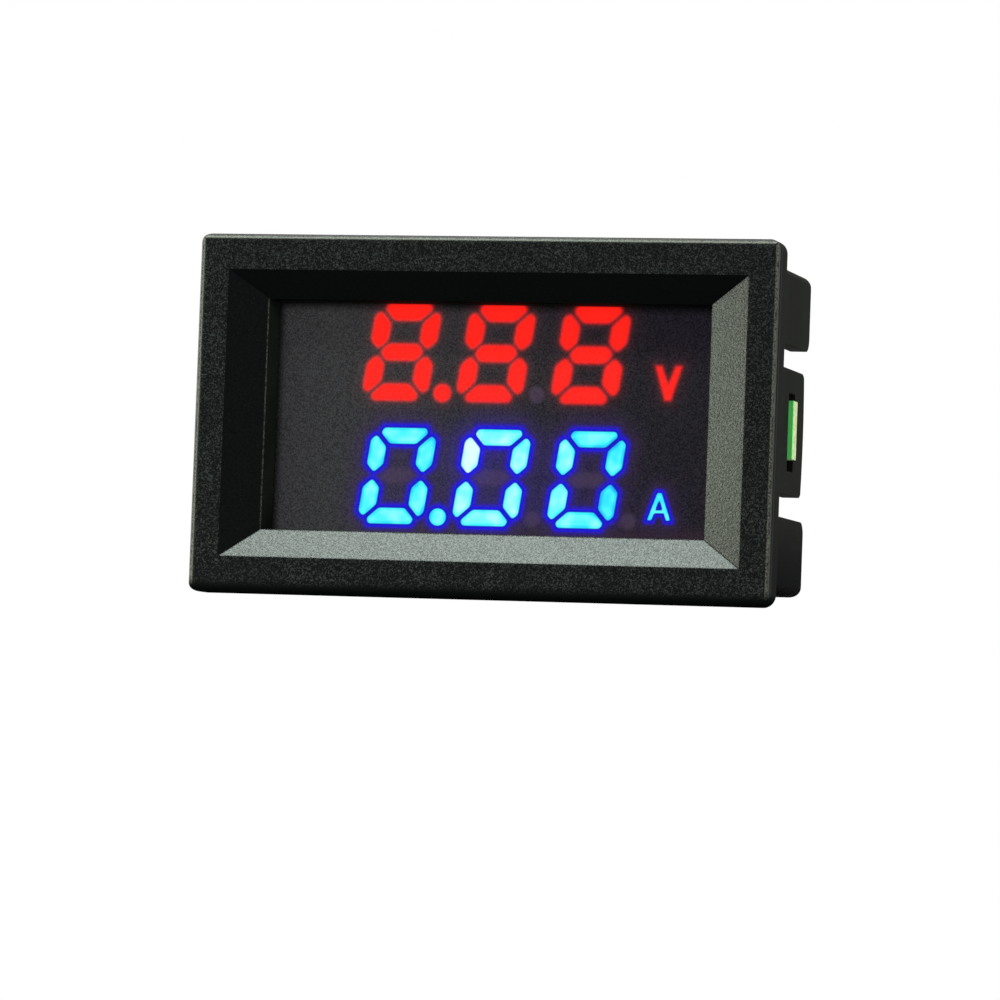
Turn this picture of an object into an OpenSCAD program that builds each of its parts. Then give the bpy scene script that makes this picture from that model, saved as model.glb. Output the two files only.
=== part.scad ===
// Two-row LED volt and ammeter for a panel cut-out.
// X runs to the right, Y runs from the front of the panel to the back and Z is up.
// The origin is the centre of the cut-out, in the plane where the bezel seats on the panel.

/* [Bezel] */
// Width of the front bezel
bezel_w = 48; // [47.4:0.2:50]
// Height of the front bezel
bezel_h = 29; // [28.4:0.2:31]
// Thickness of the bezel flange
bezel_t = 2.4; // [2.2:0.1:3.2]
// Radius of the bezel's outer corners
bezel_corner_r = 1; // [0.6:0.1:1.4]
// Rounding of the bezel's front edge
bezel_edge_r = 0.5; // [0.2:0.05:0.7]
// Width of the bevel at the front face
bevel_w = 43; // [42:0.2:44]
// Height of the bevel at the front face
bevel_h = 23.2; // [22.6:0.2:24.4]
// Depth of the bevel
bevel_depth = 1.1; // [0.6:0.1:1.6]
// Width of the window
window_w = 36.6; // [35.6:0.2:37.6]
// Height of the window
window_h = 18.6; // [18:0.1:19.2]
// Depth of the window tunnel behind the panel seat
tunnel_depth = 1.6; // [1.2:0.1:2]
// Wall of the window tunnel
tunnel_wall = 1; // [0.8:0.1:1.2]

/* [Sleeve] */
// Width of the sleeve that passes through the panel
sleeve_w = 45.5; // [45.1:0.1:46.1]
// Height of the sleeve
sleeve_h = 26.2; // [26:0.1:26.8]
// Wall of the sleeve
sleeve_wall = 1.3; // [1:0.1:1.4]
// Depth of the sleeve behind the panel seat
sleeve_depth = 15.2; // [14.8:0.2:17]
// Radius of the sleeve's long edges
sleeve_corner_r = 0.8; // [0.4:0.1:1]
// Height of the snap tongue in each side wall
tongue_h = 10.1; // [9:0.1:11]
// Distance that the snap tongue stops short of the sleeve's end
tongue_set_back = 1.2; // [0.6:0.1:2]
// Bow of the snap tongue's rear edge
tongue_bow = 0.35; // [0.2:0.05:0.6]
// Width of the slits beside the snap tongue
slit_w = 1.9; // [1.4:0.1:2.2]
// Height of the sleeve that is left whole at the root of each slit
slit_root = 0.3; // [0.2:0.1:0.6]
// Radius of the corners at the free ends of the side walls
tab_corner_r = 1.1; // [0.6:0.1:1.4]
// Height of the slot that takes the board's ear
snap_slot_h = 6.3; // [5.6:0.1:7]
// Width of the slot that takes the board's ear
snap_slot_w = 2.3; // [2:0.1:2.6]

/* [Display] */
// Thickness of the smoked film
film_t = 0.25; // [0.15:0.05:0.4]
// Overlap of the film and display beyond the window on each side
display_rim = 1.2; // [1:0.05:1.3]
// Depth of the display's body
display_depth = 5.6; // [5.2:0.1:6]
// Height of the display's feet on the main board
display_foot_h = 1.25; // [1.2:0.05:1.6]
// Width of the display's corner feet
display_foot_w = 1.4; // [1.2:0.05:1.5]
// Wall of the display's body round its back pocket
display_wall = 1.1; // [0.9:0.1:1.3]
// Depth of the light cavities
cavity_depth = 3.6; // [3:0.1:3.8]
// Thickness of the display's own circuit board
led_board_t = 0.8; // [0.6:0.1:1]
// Side of an LED chip
led_chip_w = 0.3; // [0.2:0.05:0.4]
// Height of an LED chip
led_chip_h = 0.12; // [0.08:0.02:0.16]
// Space between an LED chip and the resin in front of it
led_chip_gap = 0.08; // [0.04:0.02:0.12]

/* [Digits] */
// Height of a digit
digit_h = 7.72; // [7.2:0.02:8]
// Width of a digit before it is slanted
digit_w = 5.4; // [5:0.1:5.6]
// Width of the upright bars
upright_w = 1.32; // [1:0.02:1.4]
// Height of the level bars
level_h = 1.24; // [1:0.02:1.4]
// Level and upright distance between neighbouring bars
bar_gap = 0.3; // [0.2:0.02:0.4]
// Blunting of the bars' outer tips
bar_tip = 0.38; // [0.3:0.02:0.5]
// Slant of the digits in degrees
digit_slant = 8.2; // [0:0.2:10]
// Distance between digits
digit_pitch = 7.87; // [7.7:0.01:8.2]
// Height of the voltage row above the centre
volt_row_z = 5.4; // [5.2:0.05:5.6]
// Depth of the current row below the centre
amp_row_z = 4.6; // [4.4:0.05:4.8]
// Diameter of a decimal point
point_d = 1.36; // [1:0.02:1.5]
// Distance of a decimal point to the right of its digit's centre
point_x = 3.5; // [3.4:0.02:3.6]
// Distance of a decimal point below its digit's centre
point_z = 3.25; // [3:0.05:3.4]
// Distance of the unit letters from the centre
letter_v_x = 14.3; // [13.8:0.1:15]
// Distance of the lower unit letter from the middle of the display
letter_a_x = 13.9; // [13.5:0.1:14.5]
// Rise of the lower unit letter above the foot of its digits
letter_a_rise = 0.7; // [0.2:0.1:1.2]
// Height of the letter V
letter_v_h = 2.65; // [2.2:0.05:3]
// Height of the letter A
letter_a_h = 2.3; // [2:0.05:2.8]
// Width of the unit letters at their open end
letter_w = 2.05; // [1.8:0.05:2.4]
// Stroke of the unit letters
letter_stroke = 0.42; // [0.3:0.02:0.5]
// Depth of the unit letters' resin
letter_depth = 1.6; // [1:0.1:2]
// Diameter of the light hole behind a unit letter
light_hole_d = 0.5; // [0.4:0.02:0.6]

/* [Display pins] */
// Pins in each of the display's two rows
pin_count = 8; // [6:1:8]
// Distance between the display's pins
pin_pitch = 2.54; // [2:0.02:2.54]
// Distance of each pin row from the centre
pin_row_z = 8.9; // [8.7:0.05:9]
// Diameter of a display pin
pin_d = 0.5; // [0.4:0.02:0.56]
// Reach of the pins behind the main board
pin_reach = 0.9; // [0.7:0.05:1.2]

/* [Main board] */
// Thickness of the main board
board_t = 1.6; // [1.4:0.1:1.7]
// Gap between the main board and the sleeve's walls
board_clear = 0.2; // [0.1:0.05:0.3]
// Height of the board's ears
ear_h = 4.7; // [4:0.1:5.4]
// Height of the ears' centre above the board's centre
ear_z = 0.2; // [0:0.05:0.3]
// Reach of the ears beyond the sleeve
ear_reach = 0.25; // [0.1:0.05:0.4]
// Radius of the board's corners
board_corner_r = 0.6; // [0.3:0.1:1]
// Play of the board in the slots of the snap tongues
ear_play = 0.1; // [0.05:0.01:0.15]

/* [Headers] */
// Width of the current header
current_w = 7.9; // [7.6:0.1:8.4]
// Height of the current header along the board
current_d = 8.5; // [8:0.1:8.8]
// Thickness of the current header's base
current_base_t = 3.2; // [2.6:0.1:3.6]
// Height of the current header's latch wall
current_wall_h = 8.4; // [7.8:0.1:9]
// Thickness of the current header's latch wall
current_wall_t = 1.1; // [0.9:0.1:1.3]
// Distance between the current pins
current_pitch = 3.96; // [3.8:0.02:4.2]
// Side of a current pin
current_pin_w = 1.14; // [1:0.02:1.2]
// Height of the current pins
current_pin_h = 7.6; // [7:0.1:8]
// Width of the supply header
supply_w = 7.9; // [7.4:0.1:8.4]
// Height of the supply header along the board
supply_d = 4.5; // [4.3:0.1:4.9]
// Depth of the supply header's shroud
supply_shroud_h = 6; // [5.4:0.1:6.6]
// Wall of the supply header's shroud
supply_wall = 0.5; // [0.4:0.05:0.6]
// Thickness of the supply header's base
supply_base_t = 1; // [0.8:0.1:1.4]
// Distance between the supply pins
supply_pitch = 2; // [1.9:0.02:2.1]
// Side of a supply pin
supply_pin_w = 0.5; // [0.4:0.02:0.56]
// Height of the supply pins
supply_pin_h = 4.6; // [4:0.1:5]
// Reach of the header pins in front of the main board
header_pin_reach = 0.8; // [0.6:0.05:0.9]

/* [Shunt] */
// Diameter of the shunt's wire
shunt_d = 1.6; // [1.3:0.1:1.8]
// Distance between the shunt's legs
shunt_span = 7.6; // [7:0.1:7.8]
// Height of the shunt's bridge above the board
shunt_rise = 3.4; // [3.2:0.1:4]

/* [Trimmers] */
// Width of a trimmer's base
trimmer_w = 3.2; // [3:0.1:3.6]
// Length of a trimmer's base
trimmer_l = 3.8; // [3.4:0.1:4]
// Height of a trimmer's base
trimmer_base_h = 1; // [0.8:0.05:1.3]
// Diameter of a trimmer's rotor
rotor_d = 2.7; // [2.4:0.05:2.9]
// Thickness of a trimmer's rotor
rotor_t = 0.7; // [0.6:0.05:0.8]
// Diameter of the rivet that a rotor turns on
rivet_d = 0.8; // [0.6:0.05:0.9]
// Running clearance between rotor and rivet
rotor_clear = 0.05; // [0.03:0.01:0.08]
// Width of the screwdriver slots
driver_slot_w = 0.4; // [0.3:0.05:0.5]
// Depth of the screwdriver slots
driver_slot_depth = 0.3; // [0.2:0.05:0.4]

/* [Chips] */
// Length of the microcontroller
mcu_w = 6.5; // [6.3:0.1:6.7]
// Width of the microcontroller
mcu_d = 4.4; // [4.2:0.1:4.6]
// Pins on each side of the microcontroller
mcu_side_pins = 10; // [8:1:10]
// Distance between the microcontroller's pins
mcu_pitch = 0.65; // [0.6:0.01:0.65]
// Length of the amplifier
amp_w = 4.9; // [4.8:0.1:5.2]
// Width of the amplifier
amp_d = 3.9; // [3.8:0.1:4.1]
// Width of the regulator
regulator_w = 4.5; // [4.2:0.1:4.7]
// Depth of the regulator
regulator_d = 2.5; // [2.3:0.1:2.7]
// Length of the diode
diode_l = 4.3; // [4:0.1:4.5]
// Width of the diode
diode_w = 2.6; // [2.4:0.1:2.8]
// Length of a small chip resistor or capacitor
chip_l = 1.6; // [1.5:0.05:1.7]
// Width of a small chip resistor or capacitor
chip_w = 0.8; // [0.7:0.05:0.9]
// Digit driver transistors in the row
transistor_count = 6; // [5:1:6]
// Distance between the digit driver transistors
transistor_pitch = 3.3; // [3.2:0.05:3.4]
// Segment resistors in the row
resistor_count = 8; // [6:1:8]
// Distance between the segment resistors
resistor_pitch = 1.5; // [1.4:0.05:1.6]

/* [Hidden] */
$fn = 64;
cut = 0.5;
// Positions along Y, from the film to the back of the main board
film_y = tunnel_depth;
display_y = film_y + film_t;
resin_depth = cavity_depth - led_chip_h - led_chip_gap;
led_board_y = display_y + cavity_depth;
potting_y = led_board_y + led_board_t;
display_back_y = display_y + display_depth;
board_y = display_back_y + display_foot_h;
board_back_y = board_y + board_t;
// Sleeve and board
inner_w = sleeve_w - 2 * sleeve_wall;
inner_h = sleeve_h - 2 * sleeve_wall;
tongue_y = sleeve_depth - tongue_set_back;
bow_r = tongue_h * tongue_h / (8 * tongue_bow) + tongue_bow / 2;
slot_back_y = board_back_y + ear_play;
display_w = window_w + 2 * display_rim;
display_h = window_h + 2 * display_rim;
pocket_w = display_w - 2 * display_wall;
pocket_h = display_h - 2 * display_wall;
stop_clear = 0.3;
stop_w = 1.2;
stop_x = 15;
stop_h = inner_h / 2 - display_h / 2 - stop_clear;
board_w = inner_w - 2 * board_clear;
board_h = inner_h - 2 * board_clear;
film_inset = 0.15;
// Digits
half_w = digit_w / 2;
half_h = digit_h / 2;
digit_xs = [-digit_pitch, 0, digit_pitch];
letter_v_z = volt_row_z - half_h + letter_v_h / 2 + bar_tip;
letter_a_z = letter_a_h / 2 + letter_a_rise - half_h - amp_row_z;
light_v = [letter_v_x, letter_v_z - letter_v_h / 4];
light_a = [letter_a_x, letter_a_z - letter_a_h / 4 + letter_stroke * 0.4];
ALL_BARS = ["a", "b", "c", "d", "e", "f", "g"];
ZERO_BARS = ["a", "b", "c", "d", "e", "f"];
// Holes in the boards, and the seats of what passes through them
hole_clear = 0.12;
solder_clear = 0.02;
cast_clear = 0.02;
solder_h = 0.55;
solder_spread = 0.4;
pin_xs = [for (i = [0 : pin_count - 1]) (i - (pin_count - 1) / 2) * pin_pitch];
// Layout of the main board's back, measured from its edges and centre
edge_gap = 1.4;
shunt_gap = 7.6;
chip_gap = 2.6;
chip_pitch = 3;
chip_row_gap = 3.4;
chip_side_gap = 1.25;
chip_rise = 2;
trimmer_chip_gap = 1;
trimmer_chip_rise = 1.2;
regulator_chip_gap = 3.6;
segment_row_reach = 10.8;
current_x = board_w / 2 - edge_gap - current_w / 2;
current_z = edge_gap + current_d / 2 - board_h / 2;
supply_x = edge_gap + supply_w / 2 - board_w / 2;
supply_z = board_h / 2 - edge_gap - supply_d / 2;
supply_xs = [for (i = [-1 : 1]) supply_x + i * supply_pitch];
current_xs = [for (side = [-1, 1]) current_x + side * current_pitch / 2];
shunt_z = current_z + current_d / 2 + shunt_gap;
shunt_xs = [for (side = [-1, 1]) current_x + side * shunt_span / 2];
trimmer_z = trimmer_l / 2 + edge_gap - board_h / 2;
volt_trimmer_x = edge_gap + trimmer_w / 2 - board_w / 2;
amp_trimmer_x = volt_trimmer_x + trimmer_w + 1.8;
mcu_x = -4.4;
mcu_z = 3.6;
amp_x = 5.2;
amp_z = 3.6;
amp_side_pins = 4;
amp_pitch = 1.27;
regulator_x = supply_x + 2;
regulator_z = 1.6;
diode_x = edge_gap + diode_w / 2 - board_w / 2;
diode_z = 0.6;
tantalum_x = supply_x + 2.2;
tantalum_z = -3.1;
transistor_z = -5.9;
resistor_z = -2;
// Package sizes that go with each other
mcu_h = 1;
amp_h = 1.5;
regulator_h = 1.5;
diode_h = 2.1;
tantalum_l = 3.5;
tantalum_w = 2.8;
tantalum_h = 1.9;
transistor_w = 2.9;
transistor_d = 1.3;
transistor_h = 1;
chip_h = 0.55;
chip_cap = 0.3;
standoff = 0.1;
lead_t = 0.15;
lead_reach = 1;
lead_step = 0.3;
mcu_lead_w = 0.25;
amp_lead_w = 0.42;
regulator_leg_w = 0.45;
regulator_leg_pitch = 1.5;
regulator_tab_w = 1.7;
regulator_tab_l = 0.8;
transistor_leg_w = 0.4;
transistor_leg_x = 0.95;
transistor_lead_scale = 0.7;
strap_t = 0.2;
// Seats of the loose capacitors and resistors, as [x, z, turned]
CAPACITORS = [
    [current_x - chip_pitch, shunt_z + chip_row_gap, false],
    [current_x, shunt_z + chip_row_gap, false],
    [current_x + chip_pitch, shunt_z + chip_row_gap, false],
    [amp_x + amp_w / 2 + chip_side_gap, amp_z + chip_rise, true],
    [amp_x + amp_w / 2 + chip_side_gap, amp_z - chip_rise, true],
    [mcu_x - mcu_w / 2 - chip_side_gap, mcu_z + chip_rise, true]
];
RESISTORS = [
    [mcu_x - mcu_w / 2 - chip_side_gap, mcu_z - chip_rise, true],
    [current_x - chip_gap, shunt_z - chip_gap, false],
    [current_x + chip_gap, shunt_z - chip_gap, false],
    [amp_trimmer_x + trimmer_w / 2 + trimmer_chip_gap, trimmer_z + trimmer_chip_rise, true],
    [regulator_x + regulator_chip_gap, regulator_z, true]
];
segment_row_x0 = amp_x - segment_row_reach;

// ---- Directions ----

// Extrudes a shape drawn in X and Z along Y
module along_y(y0, y1) {
    translate([0, y1, 0])
        rotate([90, 0, 0])
            linear_extrude(height = y1 - y0)
                children();
}

// Extrudes a shape drawn in Y and Z along X
module along_x(x0, x1) {
    translate([x0, 0, 0])
        rotate([90, 0, 90])
            linear_extrude(height = x1 - x0)
                children();
}

// Turns something built upwards so that it stands on the back of the main board
module on_board(x, z, turn = 0) {
    translate([x, board_back_y, z])
        rotate([-90, 0, 0])
            rotate([0, 0, turn])
                children();
}

module rounded_rect(w, h, r) {
    square([w - 2 * r, h], center = true);
    square([w, h - 2 * r], center = true);
    for (x = [r - w / 2, w / 2 - r], y = [r - h / 2, h / 2 - r])
        translate([x, y])
            circle(r);
}

module block(w, d, h) {
    translate([-w / 2, -d / 2, 0])
        cube([w, d, h]);
}

// ---- Housing: one moulding ----

// Cut through the flange, with its two front corners rounded
module rolled_profile(w) {
    flat_t = bezel_t - bezel_edge_r;
    translate([0, -flat_t / 2])
        square([w, flat_t], center = true);
    translate([0, -bezel_t / 2])
        square([w - 2 * bezel_edge_r, bezel_t], center = true);
    for (side = [-1, 1])
        translate([side * (w / 2 - bezel_edge_r), -flat_t])
            circle(bezel_edge_r);
}

// Flange whose front edge is rolled along all four sides
module bezel_plate() {
    intersection() {
        along_y(-bezel_t, 0)
            rounded_rect(bezel_w, bezel_h, bezel_corner_r);
        linear_extrude(height = bezel_h + cut, center = true)
            rolled_profile(bezel_w);
        rotate([0, 90, 0])
            linear_extrude(height = bezel_w + cut, center = true)
                rolled_profile(bezel_h);
    }
}

// Mitred bevel that falls from the front face to the window
module bevel_cut() {
    translate([0, bevel_depth - bezel_t, 0])
        rotate([90, 0, 0])
            linear_extrude(height = bevel_depth, scale = [bevel_w / window_w, bevel_h / window_h], slices = 1)
                square([window_w, window_h], center = true);
    translate([0, cut / 2 - bezel_t - cut, 0])
        cube([bevel_w, cut, bevel_h], center = true);
}

// Free end of a side wall, drawn in Y and Z, with its two rear corners rounded
module wall_end(z0, z1, length) {
    translate([-cut, z0])
        square([length + cut - tab_corner_r, z1 - z0]);
    translate([0, z0 + tab_corner_r])
        square([length, z1 - z0 - 2 * tab_corner_r]);
    for (z = [z0 + tab_corner_r, z1 - tab_corner_r])
        translate([length - tab_corner_r, z])
            circle(tab_corner_r);
}

// The three ends that the slits leave in each side wall
module side_outline() {
    outer_z = sleeve_h / 2;
    slit_z = tongue_h / 2 + slit_w;
    wall_end(slit_z, outer_z, sleeve_depth);
    wall_end(-outer_z, -slit_z, sleeve_depth);
    intersection() {
        wall_end(-tongue_h / 2, tongue_h / 2, tongue_y);
        translate([tongue_y - bow_r, 0])
            circle(bow_r);
    }
}

module snap_slot() {
    translate([slot_back_y - snap_slot_w, -snap_slot_h / 2])
        square([snap_slot_w, snap_slot_h]);
}

// Sleeve tube, with its side walls trimmed to the outline above
module sleeve() {
    difference() {
        intersection() {
            along_y(-cut, sleeve_depth)
                rounded_rect(sleeve_w, sleeve_h, sleeve_corner_r);
            along_x(-sleeve_w, sleeve_w)
                wall_end(-sleeve_h / 2, sleeve_h / 2, sleeve_depth);
        }
        along_y(-2 * cut, sleeve_depth + cut)
            square([inner_w, inner_h], center = true);
        for (side = [-1, 1])
            translate([side * (sleeve_w - sleeve_wall) / 2, 0, 0])
                along_x(-sleeve_wall, sleeve_wall)
                    side_gaps();
    }
}

module side_gaps() {
    band = tongue_h / 2 + slit_w + tab_corner_r;
    difference() {
        translate([slit_root, -band])
            square([sleeve_depth + cut - slit_root, 2 * band]);
        side_outline();
    }
    snap_slot();
}

// Ribs along the top and bottom walls that stop the main board
module board_stops() {
    for (x = [-stop_x, stop_x], side = [-1, 1])
        translate([x - stop_w / 2, -cut, side > 0 ? inner_h / 2 - stop_h : -inner_h / 2 - cut])
            cube([stop_w, board_y + cut, stop_h + cut]);
}

module housing() {
    color("#26282a")
        difference() {
            union() {
                bezel_plate();
                sleeve();
                board_stops();
                along_y(-cut, tunnel_depth)
                    square([window_w + 2 * tunnel_wall, window_h + 2 * tunnel_wall], center = true);
            }
            along_y(-bezel_t - cut, tunnel_depth + cut)
                square([window_w, window_h], center = true);
            bevel_cut();
        }
}

// ---- Display ----

module smoked_film() {
    color("#2a282c")
        along_y(film_y, display_y)
            square([display_w - 2 * film_inset, display_h - 2 * film_inset], center = true);
}

function slanted(points) = [for (p = points) [p[0] + p[1] * tan(digit_slant), p[1]]];
function mirrored_x(points) = [for (p = points) [-p[0], p[1]]];
function mirrored_z(points) = [for (p = points) [p[0], -p[1]]];

// Outlines of the top, middle and upper right bars, before the slant
level_bar = let (foot = half_w - upright_w - bar_gap, reach = foot + level_h - bar_tip)
    [[-foot, half_h - level_h], [foot, half_h - level_h], [reach, half_h - bar_tip],
     [reach - bar_tip / 2, half_h], [bar_tip / 2 - reach, half_h], [-reach, half_h - bar_tip]];
middle_bar = let (reach = half_w - upright_w / 2 - bar_gap, flat = reach - level_h / 2 + bar_gap / 2)
    [[-reach, 0], [-flat, -level_h / 2], [flat, -level_h / 2],
     [reach, 0], [flat, level_h / 2], [-flat, level_h / 2]];
upright_bar = let (inner = half_w - upright_w, top = half_h - level_h - bar_gap)
    [[inner, top], [half_w - bar_tip, top + upright_w - bar_tip], [half_w, top + upright_w - 2 * bar_tip],
     [half_w, bar_gap + upright_w / 2], [half_w - upright_w / 2, bar_gap], [inner, bar_gap + upright_w / 2]];

function bar_points(name) =
    name == "a" ? level_bar :
    name == "b" ? upright_bar :
    name == "c" ? mirrored_z(upright_bar) :
    name == "d" ? mirrored_z(level_bar) :
    name == "e" ? mirrored_x(mirrored_z(upright_bar)) :
    name == "f" ? mirrored_x(upright_bar) : middle_bar;

module bars(names, xs, z) {
    for (x = xs, name = names)
        translate([x, z])
            polygon(slanted(bar_points(name)));
}

module points(xs, z, d) {
    for (x = xs)
        translate([x + point_x, z - point_z])
            circle(d = d);
}

module letter_v() {
    half = letter_w / 2;
    top = letter_v_h / 2;
    notch = letter_stroke * letter_v_h / half;
    translate([letter_v_x, letter_v_z])
        polygon([[-half, top], [-letter_stroke / 2, -top], [letter_stroke / 2, -top], [half, top],
            [half - letter_stroke, top], [0, notch - top], [letter_stroke - half, top]]);
}

module letter_a() {
    half = letter_w / 2;
    top = letter_a_h / 2;
    slope = (half - letter_stroke / 2) / letter_a_h;
    bar_z = -top + letter_a_h / 4;
    inner = half - letter_stroke * 1.1;
    translate([letter_a_x, letter_a_z])
        difference() {
            polygon([[-half, -top], [-letter_stroke / 2, top], [letter_stroke / 2, top], [half, -top]]);
            polygon([[-inner, -top - cut], [inner, -top - cut], [inner, -top],
                [inner - slope * (bar_z + top), bar_z], [slope * (bar_z + top) - inner, bar_z], [-inner, -top]]);
            letter_eye(bar_z + letter_stroke * 0.8, inner - slope * (bar_z + top + letter_stroke * 0.8), slope);
        }
}

// Triangular eye of the letter A
module letter_eye(z, half, slope) {
    polygon([[-half, z], [half, z], [0, z + half / slope]]);
}

// Light cavities of the digits, from the face of the display to the LED board
module digit_cavities() {
    for (z = [volt_row_z, -amp_row_z])
        along_y(display_y - cut, led_board_y + cut) {
            bars(ALL_BARS, digit_xs, z);
            points(digit_xs, z, point_d + 2 * cast_clear);
        }
}

// Shallow letters, each with a light hole behind it
module letter_cavities() {
    along_y(display_y - cut, display_y + letter_depth) {
        letter_v();
        letter_a();
    }
    along_y(display_y + letter_depth - cast_clear, led_board_y + cut)
        for (place = [light_v, light_a])
            translate(place)
                circle(d = light_hole_d + 2 * cast_clear);
}

module display_body() {
    color("#d9d6cc")
        difference() {
            union() {
                along_y(display_y, display_back_y)
                    square([display_w, display_h], center = true);
                for (x = [-1, 1], z = [-1, 1])
                    translate([x * (display_w - display_foot_w) / 2, 0, z * (display_h - display_foot_w) / 2])
                        along_y(display_back_y - cut, board_y)
                            square(display_foot_w, center = true);
            }
            digit_cavities();
            letter_cavities();
            along_y(led_board_y, board_y + cut)
                square([pocket_w, pocket_h], center = true);
        }
}

module resin() {
    along_y(display_y, display_y + resin_depth)
        children();
}

module volt_bars() {
    color("#ff2020")
        resin() {
            bars(ALL_BARS, digit_xs, volt_row_z);
            points([digit_xs[0]], volt_row_z, point_d);
        }
}

// Letter of resin with its stem towards the LED
module letter_resin(place) {
    along_y(display_y, display_y + letter_depth)
        children();
    along_y(display_y + letter_depth - cast_clear, display_y + resin_depth)
        translate(place)
            circle(d = light_hole_d);
}

module volt_letter() {
    color("#ff2010")
        letter_resin(light_v)
            letter_v();
}

module amp_bars() {
    color("#50f0ff")
        resin() {
            bars(ZERO_BARS, digit_xs, -amp_row_z);
            points([digit_xs[0]], -amp_row_z, point_d);
        }
}

module amp_letter() {
    color("#40d0ff")
        letter_resin(light_a)
            letter_a();
}

module unlit_bars() {
    color("#4a3a48")
        resin() {
            bars(["g"], digit_xs, -amp_row_z);
            points([digit_xs[1], digit_xs[2]], volt_row_z, point_d);
            points([digit_xs[1], digit_xs[2]], -amp_row_z, point_d);
        }
}

// Middle of each bar, before the slant, where its chip sits
function bar_middle(name) =
    let (z = half_h - level_h / 2, x = half_w - upright_w / 2, u = half_h / 2 - bar_gap / 4)
    name == "a" ? [0, z] : name == "d" ? [0, -z] : name == "g" ? [0, 0] :
    name == "b" ? [x, u] : name == "c" ? [x, -u] : name == "e" ? [-x, -u] : [-x, u];

module led_chips() {
    color("#e8d890")
        along_y(led_board_y - led_chip_h, led_board_y) {
            for (x = digit_xs, z = [volt_row_z, -amp_row_z]) {
                for (name = ALL_BARS)
                    translate([x, z] + slanted([bar_middle(name)])[0])
                        square(led_chip_w, center = true);
                translate([x + point_x, z - point_z])
                    square(led_chip_w, center = true);
            }
            for (place = [light_v, light_a])
                translate(place)
                    square(led_chip_w, center = true);
        }
}

module led_board() {
    color("#3c6b3a")
        along_y(led_board_y, potting_y)
            square([pocket_w, pocket_h], center = true);
}

module pin_holes(d) {
    for (x = pin_xs, side = [-1, 1])
        translate([x, side * pin_row_z])
            circle(d = d);
}

module potting() {
    color("#c9b98a")
        along_y(potting_y, display_back_y)
            difference() {
                square([pocket_w, pocket_h], center = true);
                pin_holes(pin_d + 2 * cast_clear);
            }
}

module display_pins() {
    color("#c8c8cc")
        along_y(potting_y, board_back_y + pin_reach)
            pin_holes(pin_d);
}

// ---- Main board ----

module board_outline() {
    rounded_rect(board_w, board_h, board_corner_r);
    translate([0, ear_z])
        square([sleeve_w + 2 * ear_reach, ear_h], center = true);
}

function square_hole_d(w) = w * sqrt(2) + 2 * hole_clear;

module board_holes() {
    pin_holes(pin_d + 4 * hole_clear);
    for (x = current_xs)
        translate([x, current_z])
            circle(d = square_hole_d(current_pin_w));
    for (x = supply_xs)
        translate([x, supply_z])
            circle(d = square_hole_d(supply_pin_w));
    for (x = shunt_xs)
        translate([x, shunt_z])
            circle(d = shunt_d + 2 * hole_clear);
}

module main_board() {
    color("#2f7d3c")
        along_y(board_y, board_back_y)
            difference() {
                board_outline();
                board_holes();
            }
}

// Concave cone of solder round a pin
module solder_cone(hole_r, pad_r) {
    foot = (pad_r - hole_r) / 3;
    rotate_extrude()
        polygon([[hole_r, 0], [pad_r, 0], [pad_r, 0.05], [hole_r + foot, solder_h * 0.4], [hole_r + 0.04, solder_h],
            [hole_r, solder_h]]);
}

module solder_joints() {
    color("#b8bcc2") {
        for (x = pin_xs, side = [-1, 1])
            on_board(x, side * pin_row_z)
                solder_cone(pin_d / 2 + solder_clear, pin_d / 2 + solder_spread);
        translate([0, board_y, 0])
            rotate([90, 0, 0]) {
                for (x = current_xs)
                    translate([x, current_z])
                        solder_cone(current_pin_w * sqrt(0.5) + solder_clear, current_pin_w + solder_spread);
                for (x = supply_xs)
                    translate([x, supply_z])
                        solder_cone(supply_pin_w * sqrt(0.5) + solder_clear, supply_pin_w + 0.3);
                for (x = shunt_xs)
                    translate([x, shunt_z])
                        solder_cone(shunt_d / 2 + solder_clear, shunt_d / 2 + solder_spread);
            }
    }
}

// ---- Headers and shunt ----

// Base with two pin holes and a latch wall on one long side
module current_header() {
    notch = current_w / 3;
    color("#f2f0e8")
        on_board(current_x, current_z)
            difference() {
                union() {
                    block(current_w, current_d, current_base_t);
                    translate([0, (current_d - current_wall_t) / 2, 0])
                        block(current_w, current_wall_t, current_wall_h);
                    for (side = [-1, 1])
                        translate([side * (current_w - current_wall_t) / 2, current_d / 4, 0])
                            block(current_wall_t, current_d / 2, current_base_t + 1.4);
                }
                for (side = [-1, 1])
                    translate([side * current_pitch / 2, 0, -cut])
                        block(current_pin_w, current_pin_w, current_base_t + 2 * cut);
                translate([0, current_d / 2, current_base_t + 1])
                    block(notch, 2 * current_wall_t + cut, current_wall_h / 4);
            }
}

module square_pin(w, h) {
    tip = w / 4;
    translate([0, 0, -board_t - header_pin_reach])
        block(w, w, board_t + header_pin_reach + h - tip);
    translate([0, 0, h - tip])
        linear_extrude(height = tip, scale = 0.5)
            square(w, center = true);
}

module current_pins() {
    color("#c9cacc")
        for (x = current_xs)
            on_board(x, current_z)
                square_pin(current_pin_w, current_pin_h);
}

// Shroud open at the back, with two key slots in one long side
module supply_header() {
    key_w = supply_w / 8;
    color("#f2f0e8")
        on_board(supply_x, supply_z)
            difference() {
                block(supply_w, supply_d, supply_shroud_h);
                translate([0, 0, supply_base_t])
                    block(supply_w - 2 * supply_wall, supply_d - 2 * supply_wall, supply_shroud_h);
                for (i = [-1 : 1])
                    translate([i * supply_pitch, 0, -cut])
                        block(supply_pin_w, supply_pin_w, supply_base_t + 2 * cut);
                for (side = [-1, 1])
                    translate([side * supply_w / 4, supply_d / 2, supply_shroud_h / 3])
                        block(key_w, 2 * supply_wall + cut, supply_shroud_h);
            }
}

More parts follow.
